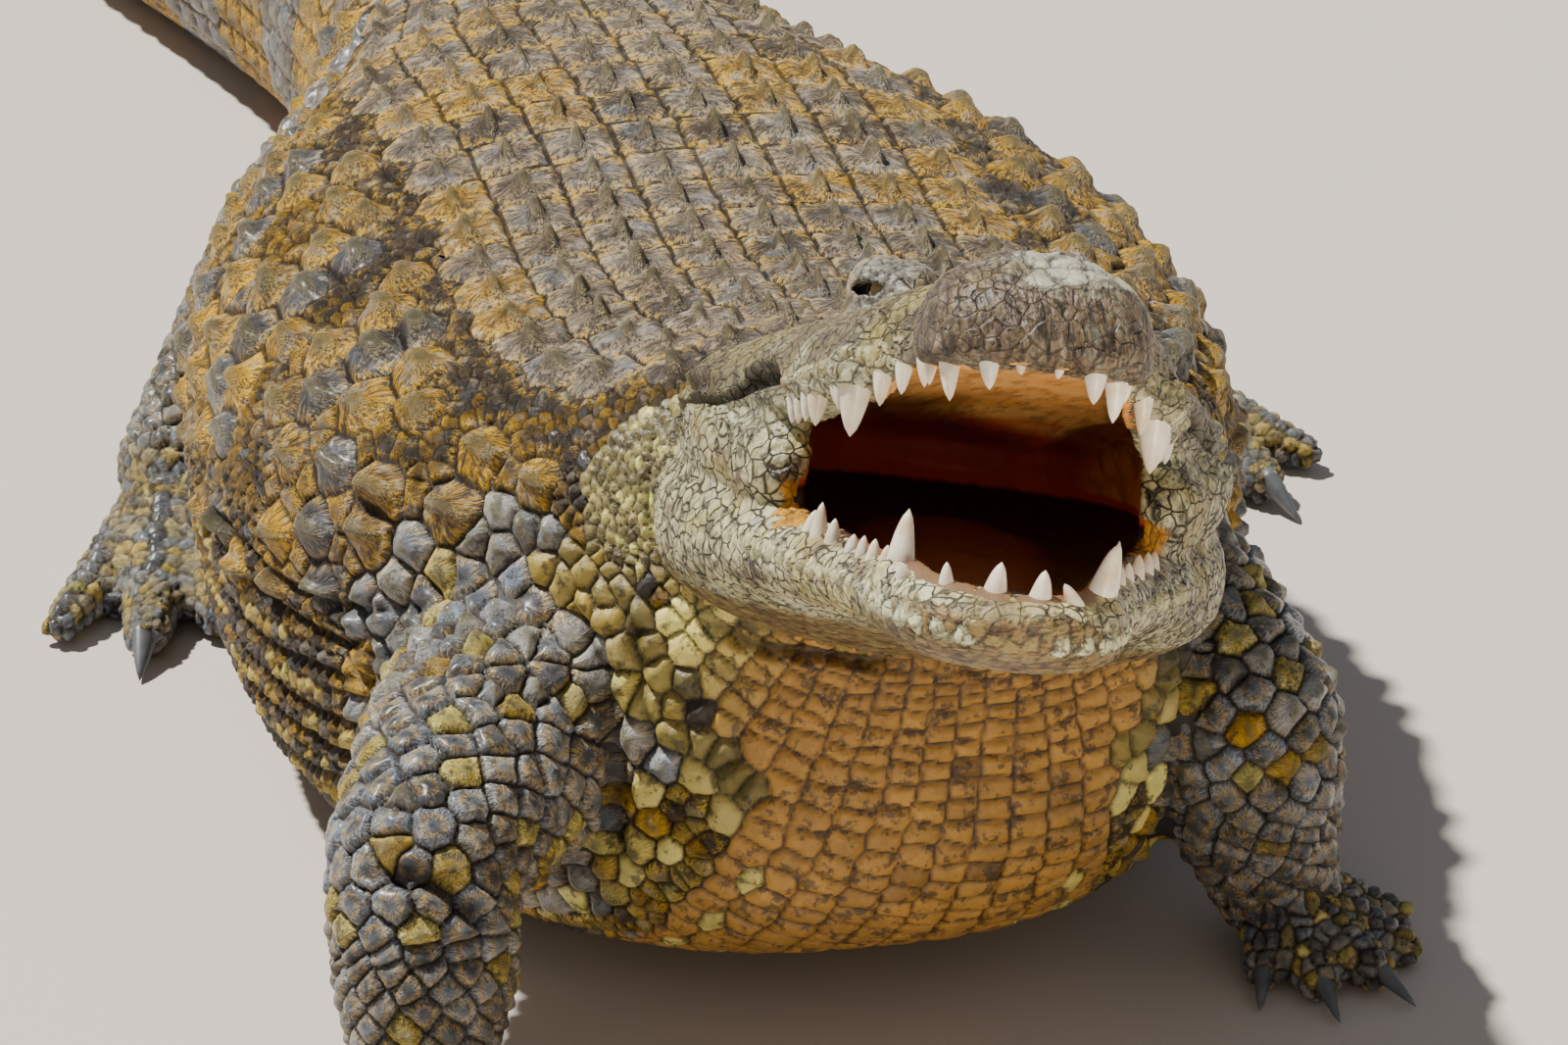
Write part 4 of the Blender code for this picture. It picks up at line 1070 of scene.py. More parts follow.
def lowerTone(point, pale, knobs):
    # the same of the lower jaw, with the folded chin at its front; the chin's underside is dark brown, partly
    # its own colour and partly painted shade
    _, side, _ = inJaw(middleAxes, point)
    ahead = inJaw(upperAxes, point)[0]
    under = inJaw(lowerAxes, point)[2]
    start = float(np.interp(ahead, (0.10, 0.25, 0.45, 0.58), (0.088, 0.078, 0.036, 0.002)))
    foldedAndShaded = float(ease(-under, start - 0.004, start + 0.008)) * (1.0 - knobs)
    tone = mix("jawPale", "jaw", 0.75 * pale * pale)
    tone = tone * (1.0 - 0.7 * pale) + mix("mint", "jawPale", pale) * 0.7 * pale
    # dark brown underside of the chin: its own colour, deepened as painted shade
    tone = over(tone, mix("chinFoldAndShade", "olive", 0.5 * pale), foldedAndShaded)
    return tone, 1.0 - foldedAndShaded, 0.3, 0.7 if side > 0.10 else -foldedAndShaded


def jawScales():
    # small cracked tiles over both jaws, larger ones on the nose, knobs under the jaw's angle
    inside, spot = headMask(frontPoints)
    lining = [seed for seed in seeds if seed[pieceAt] == 0]
    tree = treeFrom([seed[:3] for seed in lining])
    rows = np.flatnonzero(inside)
    hits = [tree.find(point) for point in frontPoints[rows].tolist()]
    facing = np.array([seed[3:9] for seed in lining])
    facing = np.cross(facing[:, :3], facing[:, 3:])[[hit[1] for hit in hits]]
    within = (np.array([hit[2] for hit in hits]) < 0.022) & ((facing * frontNormals[rows]).sum(1) > 0.35)
    mask = np.zeros(len(frontPoints), bool)
    mask[rows[~within]] = True
    knobs, behind, tiles = headZones(frontPoints)
    reach = 0.0088 + 0.0085 * tiles + 0.0045 * knobs - 0.0024 * behind
    reach -= 0.0028 * ease(spot[:, 2], 0.03, 0.06) * (1.0 - tiles) * (1.0 - behind)

    def rule(point, normal):
        _, side, height = inJaw(middleAxes, point)
        overAhead, _, overHeight = inJaw(upperAxes, point)
        pale = rnd.random()
        upper = height > 0.0
        knob, rearward, tile = (float(value) for value in headZones(point))
        if upper:
            tone, crack, pit, wrinkle = upperTone(point, pale, tile)
            snout = wrinkle
            cheek = float(ease(0.150 - overAhead, -0.02, 0.04) * ease(overHeight, 0.020, 0.045))
        else:
            tone, crack, pit, wrinkle = lowerTone(point, pale, knob)
            tile, snout, cheek = 0.0, 0.0, 0.0
        speckled = mix("olive", "dark", 0.75 * pale) if pale < 0.7 else mix("olive", "lime", rnd.random())
        tone = over(tone, speckled, rearward)
        tone = over(tone, mix("olive", "dark", float(rnd.random() < 0.4)), 0.8 * cheek)
        tone = over(tone, mix("legYellow", "lime", 0.6 * pale) * (0.55 + 0.45 * rnd.random()), knob)
        corner = inJaw(lowerAxes, point) * np.array((1.0, math.copysign(1.0, side), 1.0))
        corner = corner - lowerJaw["lipCorner"]
        if not upper and np.linalg.norm(corner * np.array((0.42, 1.0, 1.0))) < 0.015:
            tone = mix("corner", "fold", 0.3 * pale)
            crack = 0.3
        addSeed(point, -middleAxes[0], normal, 0.007 + 0.003 * knob, "coatSnout" if upper else "coatJaw",
                tone, weight=0.00001 * rnd.random(), dome=0.0005 + 0.0036 * knob + 0.0012 * rearward,
                groove=0.0017 + 0.0014 * knob + 0.0010 * tile,
                deep=0.0006 + 0.0020 * knob + 0.0009 * rearward + 0.0010 * tile - 0.0004 * snout,
                crack=crack * (1.0 - knob) * (1.0 - rearward), pit=pit * (1.0 - knob),
                wrinkle=wrinkle * (1.0 - knob))

    blockers = [(seed[:3], seed[clearAt] * 0.75) for seed in seeds if seed[pieceAt] in (1, 2)]
    return scatter(frontPoints, frontNormals, mask, reach, blockers, rule)


def bodyTone(share, dice):
    tone = mix("horn", "ochre", 0.2 + 0.7 * dice) * (0.65 + 0.65 * rnd.random())
    if share < flank["top"]:
        tone = mix("bark", "horn", dice) * 0.9
    if dice < 0.30:
        tone = mix("dark", "horn", 0.7 * rnd.random())
    elif dice < 0.36 and share > 0.3:
        tone = mix("blue", "horn", 0.7 * rnd.random())
    if share > 0.62:
        tone = mix("lime", "ochre", dice) if dice > 0.35 else mix("dark", "horn", 0.4)
    if share > flank["bottom"]:
        tone = mix("belly", "lime", dice)
    return tone


def granules():
    # small scales in every gap that the large ones leave on the flank, the neck and the feet
    total = 0
    edge = detail["meet"] + 0.02
    for points, normals, keep in ((frontPoints, frontNormals, frontPoints[:, 1] < edge),
                                  (rearPoints, rearNormals, rearPoints[:, 1] > edge)):
        blockers = [(seed[:3], seed[clearAt]) for seed in seeds]
        inside, _ = headMask(points)
        reach = 0.0088 + 0.0020 * lumps(points, 0.05, 8)
        footOf = np.zeros(len(points), int)
        for number, name in enumerate(legs):
            near = np.flatnonzero(np.linalg.norm(points - legJoints[name][2, :3], axis=1) < 0.55)
            if len(near) == 0:
                continue
            share, away = legPlace(name, points[near])
            keep[near[(share > 0.12) & (share < 0.995) & (away < kindOf(name)["reach"])]] = False
            footOf[near[(share >= 0.995) & (points[near, 2] < 0.09)]] = number + 1
        footRows = np.flatnonzero(footOf)
        feet = treeFrom(points[footRows])

        def rule(point, normal):
            _, index, gap = feet.find(point)
            if gap < 0.003:
                tone = mix("legYellow", "blue", rnd.random()) * (0.7 + 0.4 * rnd.random())
                piece = coatOf(list(legs)[footOf[footRows[index]] - 1])
                addSeed(point, np.array((0.0, -1.0, 0.1)), normal, 0.006, piece, tone,
                        dome=0.0018, groove=0.0025, deep=0.0018, streak=0.2)
                return
            distance, share, hand = trunkPlace(point)
            addSeed(point, spineFrame(spineRow(distance))[2], normal, 0.0075, partOf(distance, share, hand),
                    bodyTone(share, rnd.random()), dome=0.0018, groove=0.0030, deep=0.0028, streak=1.0)

        total += scatter(points, normals, keep & ~inside, reach, blockers, rule)
    return total


dorsalScales()
flankScales()
sideScales()
bellyScales()
throatScales()
tailScales()
inside, _ = headMask(np.array([seed[:3] for seed in seeds]))
seeds[:] = [seed for seed, within in zip(seeds, inside) if not within and not onShoulder(np.array(seed[:3]))]
liningSeeds()
print("neck scales", neckScales())
for name in legs:
    legScales(name)
print("ordered scales", len(seeds))
print("shoulder scales", shoulderScales())
lipScales()
print("jaw scales", jawScales())
print("granules", granules())


def inCavity(points):
    # behind the lips nothing but lining belongs inside the mouth
    spot = inJaw(middleAxes, points)
    rows = smoothRows([(a, max(low, high), up, -down) for a, low, high, up, down in mouth["rows"]], 6)
    _, wide, up, down = valuesAt(spot[:, 0], rows[:, 0], rows)
    return ((spot[:, 0] > -0.012) & (spot[:, 0] < 0.17) & (np.abs(spot[:, 1]) < wide + 0.006)
            & (spot[:, 2] < up + 0.008) & (spot[:, 2] > -down - 0.008))


within = inCavity(np.array([seed[:3] for seed in seeds]))
seeds[:] = [seed for seed, drop in zip(seeds, within) if seed[pieceAt] == 0 or not drop]

# creases: frame, width, depth, darkness of the painted shade along them, points; the side column is mirrored
creases = [
    (upperAxes, 0.0060, 0.0150, 1.0,
     ((-0.010, 0.186, 0.004), (0.060, 0.184, 0.005), (0.105, 0.182, 0.004), (0.159, 0.171, 0.000),
      (0.180, 0.158, 0.004), (0.207, 0.146, 0.010), (0.239, 0.136, 0.010), (0.262, 0.131, -0.002),
      (0.275, 0.124, -0.012))),
    (upperAxes, 0.0035, 0.0060, 0.9,
     ((0.486, 0.046, 0.046), (0.488, 0.060, 0.032), (0.487, 0.065, 0.014), (0.486, 0.062, 0.000))),
    (upperAxes, 0.0060, 0.0120, 1.0,
     ((0.040, 0.184, 0.016), (0.105, 0.182, 0.017), (0.150, 0.173, 0.013), (0.185, 0.158, 0.014))),
    (lowerAxes, 0.0022, 0.0028, 0.6,
     ((0.110, 0.184, 0.026), (0.140, 0.178, 0.032), (0.170, 0.166, 0.030), (0.190, 0.150, 0.030))),
    (lowerAxes, 0.0022, 0.0022, 0.5,
     ((0.150, 0.176, 0.000), (0.185, 0.166, -0.010), (0.225, 0.150, -0.008))),
    (lowerAxes, 0.0045, 0.0065, 0.9,
     ((0.022, 0.152, -0.130), (0.030, 0.135, -0.133), (0.035, 0.114, -0.140), (0.041, 0.091, -0.141),
      (0.044, 0.065, -0.141), (0.044, 0.038, -0.142), (0.043, 0.010, -0.140), (0.043, 0.000, -0.140))),
    (lowerAxes, 0.0034, 0.0030, 0.5,
     ((-0.019, 0.181, 0.008), (-0.014, 0.193, -0.013), (-0.006, 0.195, -0.039), (-0.002, 0.192, -0.064),
      (0.005, 0.184, -0.089), (0.014, 0.170, -0.113), (0.023, 0.150, -0.130))),
    (upperAxes, 0.0022, 0.0026, 0.6,
     ((0.162, 0.066, 0.084), (0.178, 0.076, 0.088), (0.198, 0.077, 0.088), (0.216, 0.068, 0.082))),
    (upperAxes, 0.0020, 0.0022, 0.6,
     ((0.168, 0.074, 0.068), (0.190, 0.080, 0.066), (0.212, 0.073, 0.068))),
    (upperAxes, 0.0030, 0.0060, 1.0,
     ((0.030, 0.068, 0.078), (0.070, 0.069, 0.080), (0.110, 0.066, 0.080), (0.140, 0.057, 0.078))),
    (upperAxes, 0.0030, 0.0070, 1.0,
     ((0.530, 0.010, 0.070), (0.540, 0.017, 0.071), (0.552, 0.017, 0.070), (0.560, 0.010, 0.068))),
]
elbow = ((-0.374, -1.323, 0.200), (-0.356, -1.336, 0.205), (-0.334, -1.345, 0.203), (-0.310, -1.352, 0.184),
         (-0.286, -1.346, 0.162))
# folds between the neck and the shoulder: width, depth, distances down the spine, shares of the half ring
neckFolds = (
    (0.008, 0.009, (0.150, 0.140, 0.135, 0.150, 0.170, 0.192), (0.46, 0.52, 0.58, 0.66, 0.70, 0.75)),
    (0.006, 0.006, (0.110, 0.105, 0.115, 0.130), (0.50, 0.56, 0.62, 0.68)),
)


def flankFold(number, hand):
    # a long fold between two bands of the narrow scales
    line = []
    for distance in np.arange(0.20 + 0.02 * (number % 3), 0.95, 0.03):
        half = HalfRing(distance, hand)
        wave = 0.004 * math.sin(distance * 23.0 + number * 2.0)
        line.append(half.at(half.end * flank["middle"] + number * flank["bandHeight"] + wave - 0.030)[0])
    return line


def neckFold(distances, shares, hand):
    halves = [HalfRing(distance, hand) for distance in distances]
    return [half.at(share * half.end)[0] for half, share in zip(halves, shares)]


def creaseSamples():
    # each crease and fold carries a darkness: painted shade along it
    lines = []
    for axes, width, depth, dark, points in creases:
        for hand in hands:
            lines.append((width, depth, dark, [jawPoint(axes, a, side * hand, h) for a, side, h in points]))
    for hand in hands:
        lines += [(0.0042, 0.0060, 0.8, flankFold(number, hand)) for number in range(8)]
        for width, depth, distances, shares in neckFolds:
            lines.append((width, depth, 0.6, neckFold(distances, shares, hand)))
    lines.append((0.0070, 0.0100, 0.8, elbow))
    samples = []
    for width, depth, dark, line in lines:
        line = smoothRows(line, 8)
        run = runOf(line)
        for place in np.arange(0.0, run[-1], 0.0014):
            fade = min(1.0, 5.0 * min(place, run[-1] - place) / run[-1]) ** 0.6
            samples.append((*valuesAt(place, run, line), width, depth * fade, dark * fade))
    return np.array(samples)


creaseTable = creaseSamples()
creaseTree = treeFrom(creaseTable[:, :3].tolist())
table = np.array(seeds)
seedPoint, seedAlong, seedAcross = table[:, 0:3], table[:, 3:6], table[:, 6:9]
(seedSize, seedWeight, seedPiece, seedDome, seedKeel, seedGroove, seedDeep, seedStreak, seedTilt, seedCrack,
 seedPit, seedDice) = table[:, 9:21].T
seedPiece = seedPiece.astype(int)
seedTone, seedWrinkle, seedBlade = table[:, 21:24], table[:, 24], table[:, 26]
seedTree = treeFrom(seedPoint.tolist())


def nearCrease(points):
    # the crease nearest to each point, and how far off it is
    hits = [creaseTree.find(point) for point in points.tolist()]
    return creaseTable[[hit[1] for hit in hits]], np.array([hit[2] for hit in hits])


def relief(points):
    # how far each point is lifted, which scale it belongs to, and what the shader needs to know there
    count = detail["neighbours"]
    moved = points + np.stack([lumps(points, 0.032, 20 + k) * 0.0014 + lumps(points, 0.011, 30 + k) * 0.0006
                               for k in range(3)], 1)
    near = np.array([hit[1] for point in moved.tolist() for hit in seedTree.find_n(point, count)])
    near = near.reshape(-1, count)
    reach = ((moved[:, None, :] - seedPoint[near]) ** 2).sum(-1) - seedWeight[near]
    rows = np.arange(len(points))
    best = reach.argmin(1)
    cell = near[rows, best]
    between = np.linalg.norm(seedPoint[near] - seedPoint[cell][:, None, :], axis=-1)
    between[rows, best] = 1.0
    edge = (reach - reach[rows, best][:, None]) / (2.0 * between)
    edge[rows, best] = 1.0
    edge = edge.min(1)  # distance to the next scale
    off = moved - seedPoint[cell]
    size, groove, blade, keel = seedSize[cell], seedGroove[cell], seedBlade[cell], seedKeel[cell]
    u = (off * seedAlong[cell]).sum(1) / size
    v = (off * seedAcross[cell]).sum(1) / size
    rim = ease(edge, 0.0, groove)
    soft = ease(edge, 0.0, groove * 2.5)
    crown = np.clip(1.0 - u * u - v * v, 0.0, 1.0) * 0.5 + 0.5
    length = ease(u, -0.70, -0.15) * (1.0 - ease(u, 0.35, 0.80))
    ridge = np.exp(-((v / blade) ** 4)) * length
    sharp = length * np.where(keel > 0.005, 1.0, 0.0) * np.exp(-((v / (2.6 * blade)) ** 4))
    pull = seedAcross[cell] * (-0.30 * v * size * sharp)[:, None]  # narrows the top of a tall keel
    rough = lumps(points, 0.011, 3) * 0.0003 + lumps(points, 0.027, 4) * 0.0004
    line, away = nearCrease(points)
    away = away / line[:, 3]
    fold = line[:, 4] * (0.30 * np.exp(-(((away - 2.0) / 0.8) ** 2)) - np.exp(-away * away))
    lift = (-seedDeep[cell] * (1.0 - rim) + seedDome[cell] * soft * crown + keel * ridge * rim
            + seedTilt[cell] * u * soft + rough * rim + fold)
    # dark seams between the scales, and painted shade along the creases and folds
    seamsAndCreaseShade = 1.0 - ease(edge, 0.0, groove * 0.75)
    seamsAndCreaseShade = np.maximum(seamsAndCreaseShade * np.where(seedCrack[cell] > 0.2, 0.55, 1.0),
                       line[:, 5] * np.exp(-((away / (0.5 + 1.6 * line[:, 5] ** 4)) ** 2)))
    marks = {
        "tone": np.concatenate((seedTone[cell], np.ones((len(cell), 1))), 1),
        "spot": np.stack((v, u, seedDice[cell]), 1),
        "facts": np.stack((seedStreak[cell], seedCrack[cell], seedPit[cell]), 1),
        "gap": seamsAndCreaseShade,
        "ridge": ridge * (keel > 0.0),
        "wrinkle": seedWrinkle[cell],
    }
    return lift, pull, cell, marks


unwraps = {  # origin, axis and top of each turn, and its radius
    "mouthLining": (joint, middleAxes[0], middleAxes[2], 0.09),
    "coatSnout": (jawPoint(upperAxes, 0.0, 0.0, 0.015), upperAxes[0], upperAxes[2], 0.10),
    "coatJaw": (jawPoint(lowerAxes, 0.0, 0.0, -0.04), lowerAxes[0], -lowerAxes[2], 0.10),
    "coatThroat": (np.array((0.01, -1.02, 0.30)), unit(np.array((0.0, 0.52, -0.85))),
                   unit(np.array((0.0, -0.85, -0.52))), 0.25),
}


def legMap(name, points, normals, radius=0.07):
    # round the leg, with the top and the sole of the foot as two flat charts
    line = smoothRows(legJoints[name][:, :3], 8)
    run = runOf(line)
    near = ((points[:, None, :] - line[None, :, :]) ** 2).sum(-1).argmin(1)
    way = np.gradient(line, axis=0)
    way /= np.linalg.norm(way, axis=1)[:, None]
    side = np.cross(way, (0.37, 0.21, 0.90))
    side /= np.linalg.norm(side, axis=1)[:, None]
    up = np.cross(side, way)
    off = points - line[near]
    length = run[near] + (off * way[near]).sum(1)
    foot = length > run[-1]
    angle = np.where(foot, points[:, 0] / radius,
                     np.arctan2((off * side[near]).sum(1), (off * up[near]).sum(1)))
    chart = np.where(foot, np.where(normals[:, 2] > 0.0, 1, 2), 0)
    return chart, angle, np.where(foot, points[:, 1], length), radius


def mapOf(piece, points, normals):
    # place of each vertex on an unwrap: chart number, turn in radians, run in metres, radius of the turn
    chart = np.zeros(len(points), int)
    if piece in unwraps:
        origin, axis, up, radius = unwraps[piece]
        off = points - origin
        return chart, np.arctan2(off @ np.cross(axis, up), off @ up), off @ axis, radius
    if piece.startswith(("coatArm", "coatLeg")):
        return legMap(piece[4].lower() + piece[5:], points, normals)
    x, z = valuesAt(points[:, 1], spine[:, 1], spine[:, (0, 2)])
    angle = np.arctan2(points[:, 0] - x, points[:, 2] - z)
    if piece == "coatBelly":
        angle = np.where(angle < 0.0, angle + 2.0 * math.pi, angle)
    return chart, angle, np.interp(points[:, 1], spine[:, 1], spineLength), 0.25


def bakeMap(mesh, piece, points, normals, corners, starts, totals):
    chart, angle, run, radius = mapOf(piece, points, normals)
    faceOf = np.repeat(np.arange(len(starts)), totals)
    faceChart = chart[corners[starts]][faceOf]
    first = angle[corners[starts]][faceOf]
    turn = angle[corners]
    wrapped = faceChart == 0
    turn = np.where(wrapped & (turn - first > math.pi), turn - 2.0 * math.pi, turn)
    turn = np.where(wrapped & (first - turn > math.pi), turn + 2.0 * math.pi, turn)
    u, v = turn * radius, run[corners].copy()
    shift = 0.0
    for number in np.unique(faceChart):
        chosen = faceChart == number
        u[chosen] += shift - u[chosen].min()
        v[chosen] -= v[chosen].min()
        shift = u[chosen].max() + 0.01
    places = np.stack((u / u.max() * 0.98 + 0.01, v / v.max() * 0.98 + 0.01), 1)
    mesh.uv_layers.new(name="OFBake").data.foreach_set("uv", places.ravel())


def meshFrom(name, points, corners, starts):
    mesh = bpy.data.meshes.new(name)
    mesh.vertices.add(len(points))
    mesh.vertices.foreach_set("co", points.ravel())
    mesh.loops.add(len(corners))
    mesh.loops.foreach_set("vertex_index", corners)
    mesh.polygons.add(len(starts))
    mesh.polygons.foreach_set("loop_start", starts)
    mesh.update(calc_edges=True)
    return linked(name, mesh)


def addAttribute(mesh, name, values):
    width = 1 if values.ndim == 1 else values.shape[1]
    kind, key = {1: ("FLOAT", "value"), 3: ("FLOAT_VECTOR", "vector"), 4: ("FLOAT_COLOR", "color")}[width]
    layer = mesh.attributes.new(name, kind, "POINT")
    layer.data.foreach_set(key, np.ascontiguousarray(values, dtype=np.float32).ravel())


def vertexNormals(points, corners, starts, totals):
    normals = np.zeros_like(points)
    a, b, c = corners[starts], corners[starts + 1], corners[starts + 2]
    d = corners[starts + np.minimum(totals, 4) - 1]
    flat = np.cross(points[c] - points[a], points[d] - points[b])
    tri = totals == 3
    flat[tri] = np.cross(points[b[tri]] - points[a[tri]], points[c[tri]] - points[a[tri]])
    for ends in (a, b, c, d):
        for k in range(3):
            normals[:, k] += np.bincount(ends, weights=flat[:, k], minlength=len(points))
    return normals / np.maximum(np.linalg.norm(normals, axis=1), 1e-12)[:, None]


def coatPieces(points, normals, corners, starts, totals, low, high, suffix):
    lift, pull, cell, marks = relief(points)
    shaped = points + normals * lift[:, None] + pull
    shaped[:, 2] = np.maximum(shaped[:, 2], 0.0)  # nothing goes under the floor
    shadingNormals = vertexNormals(shaped, corners, starts, totals)
    facePiece = seedPiece[cell[corners[starts]]]
    faceY = points[corners[starts], 1]
    keep = (faceY > low) & (faceY < high)
    pieces = []
    for number, name in enumerate(pieceNames):
        faces = np.flatnonzero((facePiece == number) & keep)
        if len(faces) < 50:
            continue
        sizes = totals[faces]
        loops = np.concatenate([corners[start:start + size] for start, size in zip(starts[faces], sizes)])
        used, local = np.unique(loops, return_inverse=True)
        newStarts = np.concatenate(([0], np.cumsum(sizes)[:-1]))
        fullName = name + suffix if name in halvedPieces else name
        if bpy.data.objects.get(fullName):
            fullName += "Rear"
        obj = meshFrom(fullName, shaped[used], local, newStarts)
        for mark, values in marks.items():
            addAttribute(obj.data, mark, values[used])
        bakeMap(obj.data, name, points[used], normals[used], local, newStarts, sizes)
        obj.data.shade_smooth()
        obj.data.normals_split_custom_set_from_vertices(shadingNormals[used].tolist())
        pieces.append(obj)
        print(fullName, int((sizes - 2).sum()), "triangles")
    return pieces


# the two halves overlap by a few millimetres where they meet
coat = coatPieces(*frontMesh, -math.inf, detail["meet"], "")
coat += coatPieces(*rearMesh, detail["meet"] - 0.004, math.inf, "Rear")
for form in (front, rear):
    bpy.data.objects.remove(form, do_unlink=True)
print("coat", len(coat), "pieces")


# inner skin: one closed surface under all the scales, deeper under creases, in the mouth and at its corners
notch = {"centre": (0.255, 0.122, -0.010), "reach": 0.020, "depth": 0.012}
remesh(skin, detail["skinVoxel"], 4)
points, normals, corners, starts, totals = meshArrays(skin)
line, away = nearCrease(points)
away = away / (line[:, 3] + 0.012)
sunk = detail["skinDepth"] + 1.25 * line[:, 4] * np.exp(-away * away)
near = np.array([seedTree.find(point)[1] for point in points.tolist()])
sunk = sunk + np.where(seedPiece[near] == 0, 0.009, 0.0)
corner = inJaw(lowerAxes, points)
corner[:, 1] = np.abs(corner[:, 1])
corner = np.linalg.norm(corner - notch["centre"], axis=1)
sunk = sunk + notch["depth"] * np.exp(-((corner / notch["reach"]) ** 2))
points = points - normals * sunk[:, None]
points[:, 2] = np.maximum(points[:, 2], 0.001)
bpy.data.objects.remove(skin, do_unlink=True)
skin = meshFrom("skin", points, corners, starts)
addAttribute(skin.data, "tone", np.concatenate((seedTone[near] * 0.12, np.ones((len(near), 1))), 1))
skin.data.shade_smooth()
print("skin", int((totals - 2).sum()), "triangles")


class Wire:
    # a socket with arithmetic: each operator adds a Math node
    def __init__(self, look, socket):
        self.look, self.socket = look, socket

    def math(self, operation, *others):
        return self.look.node("ShaderNodeMath", {"operation": operation}, dict(enumerate((self, *others))))

    def __add__(self, other):
        return self.math("ADD", other)

    def __sub__(self, other):
        return self.math("SUBTRACT", other)

    def __rsub__(self, other):
        return self.look.node("ShaderNodeMath", {"operation": "SUBTRACT"}, {0: other, 1: self})

    def __mul__(self, other):
        return self.math("MULTIPLY", other)

    def __truediv__(self, other):
        return self.math("DIVIDE", other)

    def __pow__(self, other):
        return self.math("POWER", other)

    __radd__, __rmul__ = __add__, __mul__

    def ease(self, low, high):
        return self.look.node("ShaderNodeMapRange", {"interpolation_type": "SMOOTHSTEP"},
                              {"Value": self, "From Min": low, "From Max": high})


class Look:
    # a material, with the object's own coordinates at hand
    def __init__(self, name):
        self.material = bpy.data.materials.new(name)
        self.material.use_nodes = True
        self.tree = self.material.node_tree
        self.where = self.node("ShaderNodeTexCoord", {}, {}, 3)

    def feed(self, made, values):
        for key, value in values.items():
            if isinstance(value, Wire):
                self.tree.links.new(value.socket, made.inputs[key])
            else:
                made.inputs[key].default_value = value

    def node(self, kind, settings, values, output=0):
        made = self.tree.nodes.new(kind)
        for key, value in settings.items():
            setattr(made, key, value)
        self.feed(made, values)
        return Wire(self, made.outputs[output])

    def blend(self, share, first, second, mode="MIX"):
        first, second = (value if isinstance(value, Wire) else (*value, 1.0) for value in (first, second))
        return self.node("ShaderNodeMix", {"data_type": "RGBA", "blend_type": mode},
                         {0: share, 6: first, 7: second}, 2)

    def layers(self, base, *paints):
        for share, colour in paints:
            base = self.blend(share, base, colour)
        return base

    def attribute(self, name, output=2):
        return self.node("ShaderNodeAttribute", {"attribute_name": name}, {}, output)

    def split(self, vector):
        made = self.node("ShaderNodeSeparateXYZ", {}, {0: vector}).socket.node
        return [Wire(self, output) for output in made.outputs]

    def combine(self, x, y, z):
        return self.node("ShaderNodeCombineXYZ", {}, {0: x, 1: y, 2: z})

    def noise(self, scale, depth=3.0, roughness=0.5, where=None):
        return self.node("ShaderNodeTexNoise", {}, {"Vector": where or self.where, "Scale": scale,
                                                    "Detail": depth, "Roughness": roughness})

    def grain(self, stretch, depth=3.0, roughness=0.65):
        stretched = self.node("ShaderNodeMapping", {}, {"Vector": self.where, "Scale": stretch})
        return self.noise(1.0, depth, roughness, stretched)

    def bump(self, height, strength, distance):
        return self.node("ShaderNodeBump", {}, {"Height": height, "Strength": strength, "Distance": distance})

    def done(self, values):
        self.feed(self.tree.nodes["Principled BSDF"], values)
        return self.material


def cellEdges(look, scale, width):
    # dark lines between cells, bent and broken by noise
    bend = look.node("ShaderNodeTexNoise", {}, {"Vector": look.where, "Scale": scale * 0.5, "Detail": 2.0}, 1)
    bent = look.node("ShaderNodeVectorMath", {"operation": "MULTIPLY_ADD"},
                     {0: bend, 1: (1.1 / scale,) * 3, 2: look.where})
    cells = look.node("ShaderNodeTexVoronoi", {"feature": "DISTANCE_TO_EDGE"},
                      {"Vector": bent, "Scale": scale})
    wide = look.noise(scale * 0.35, 2.0) * width * 2.0
    return 1.0 - cells.ease(0.0, wide)


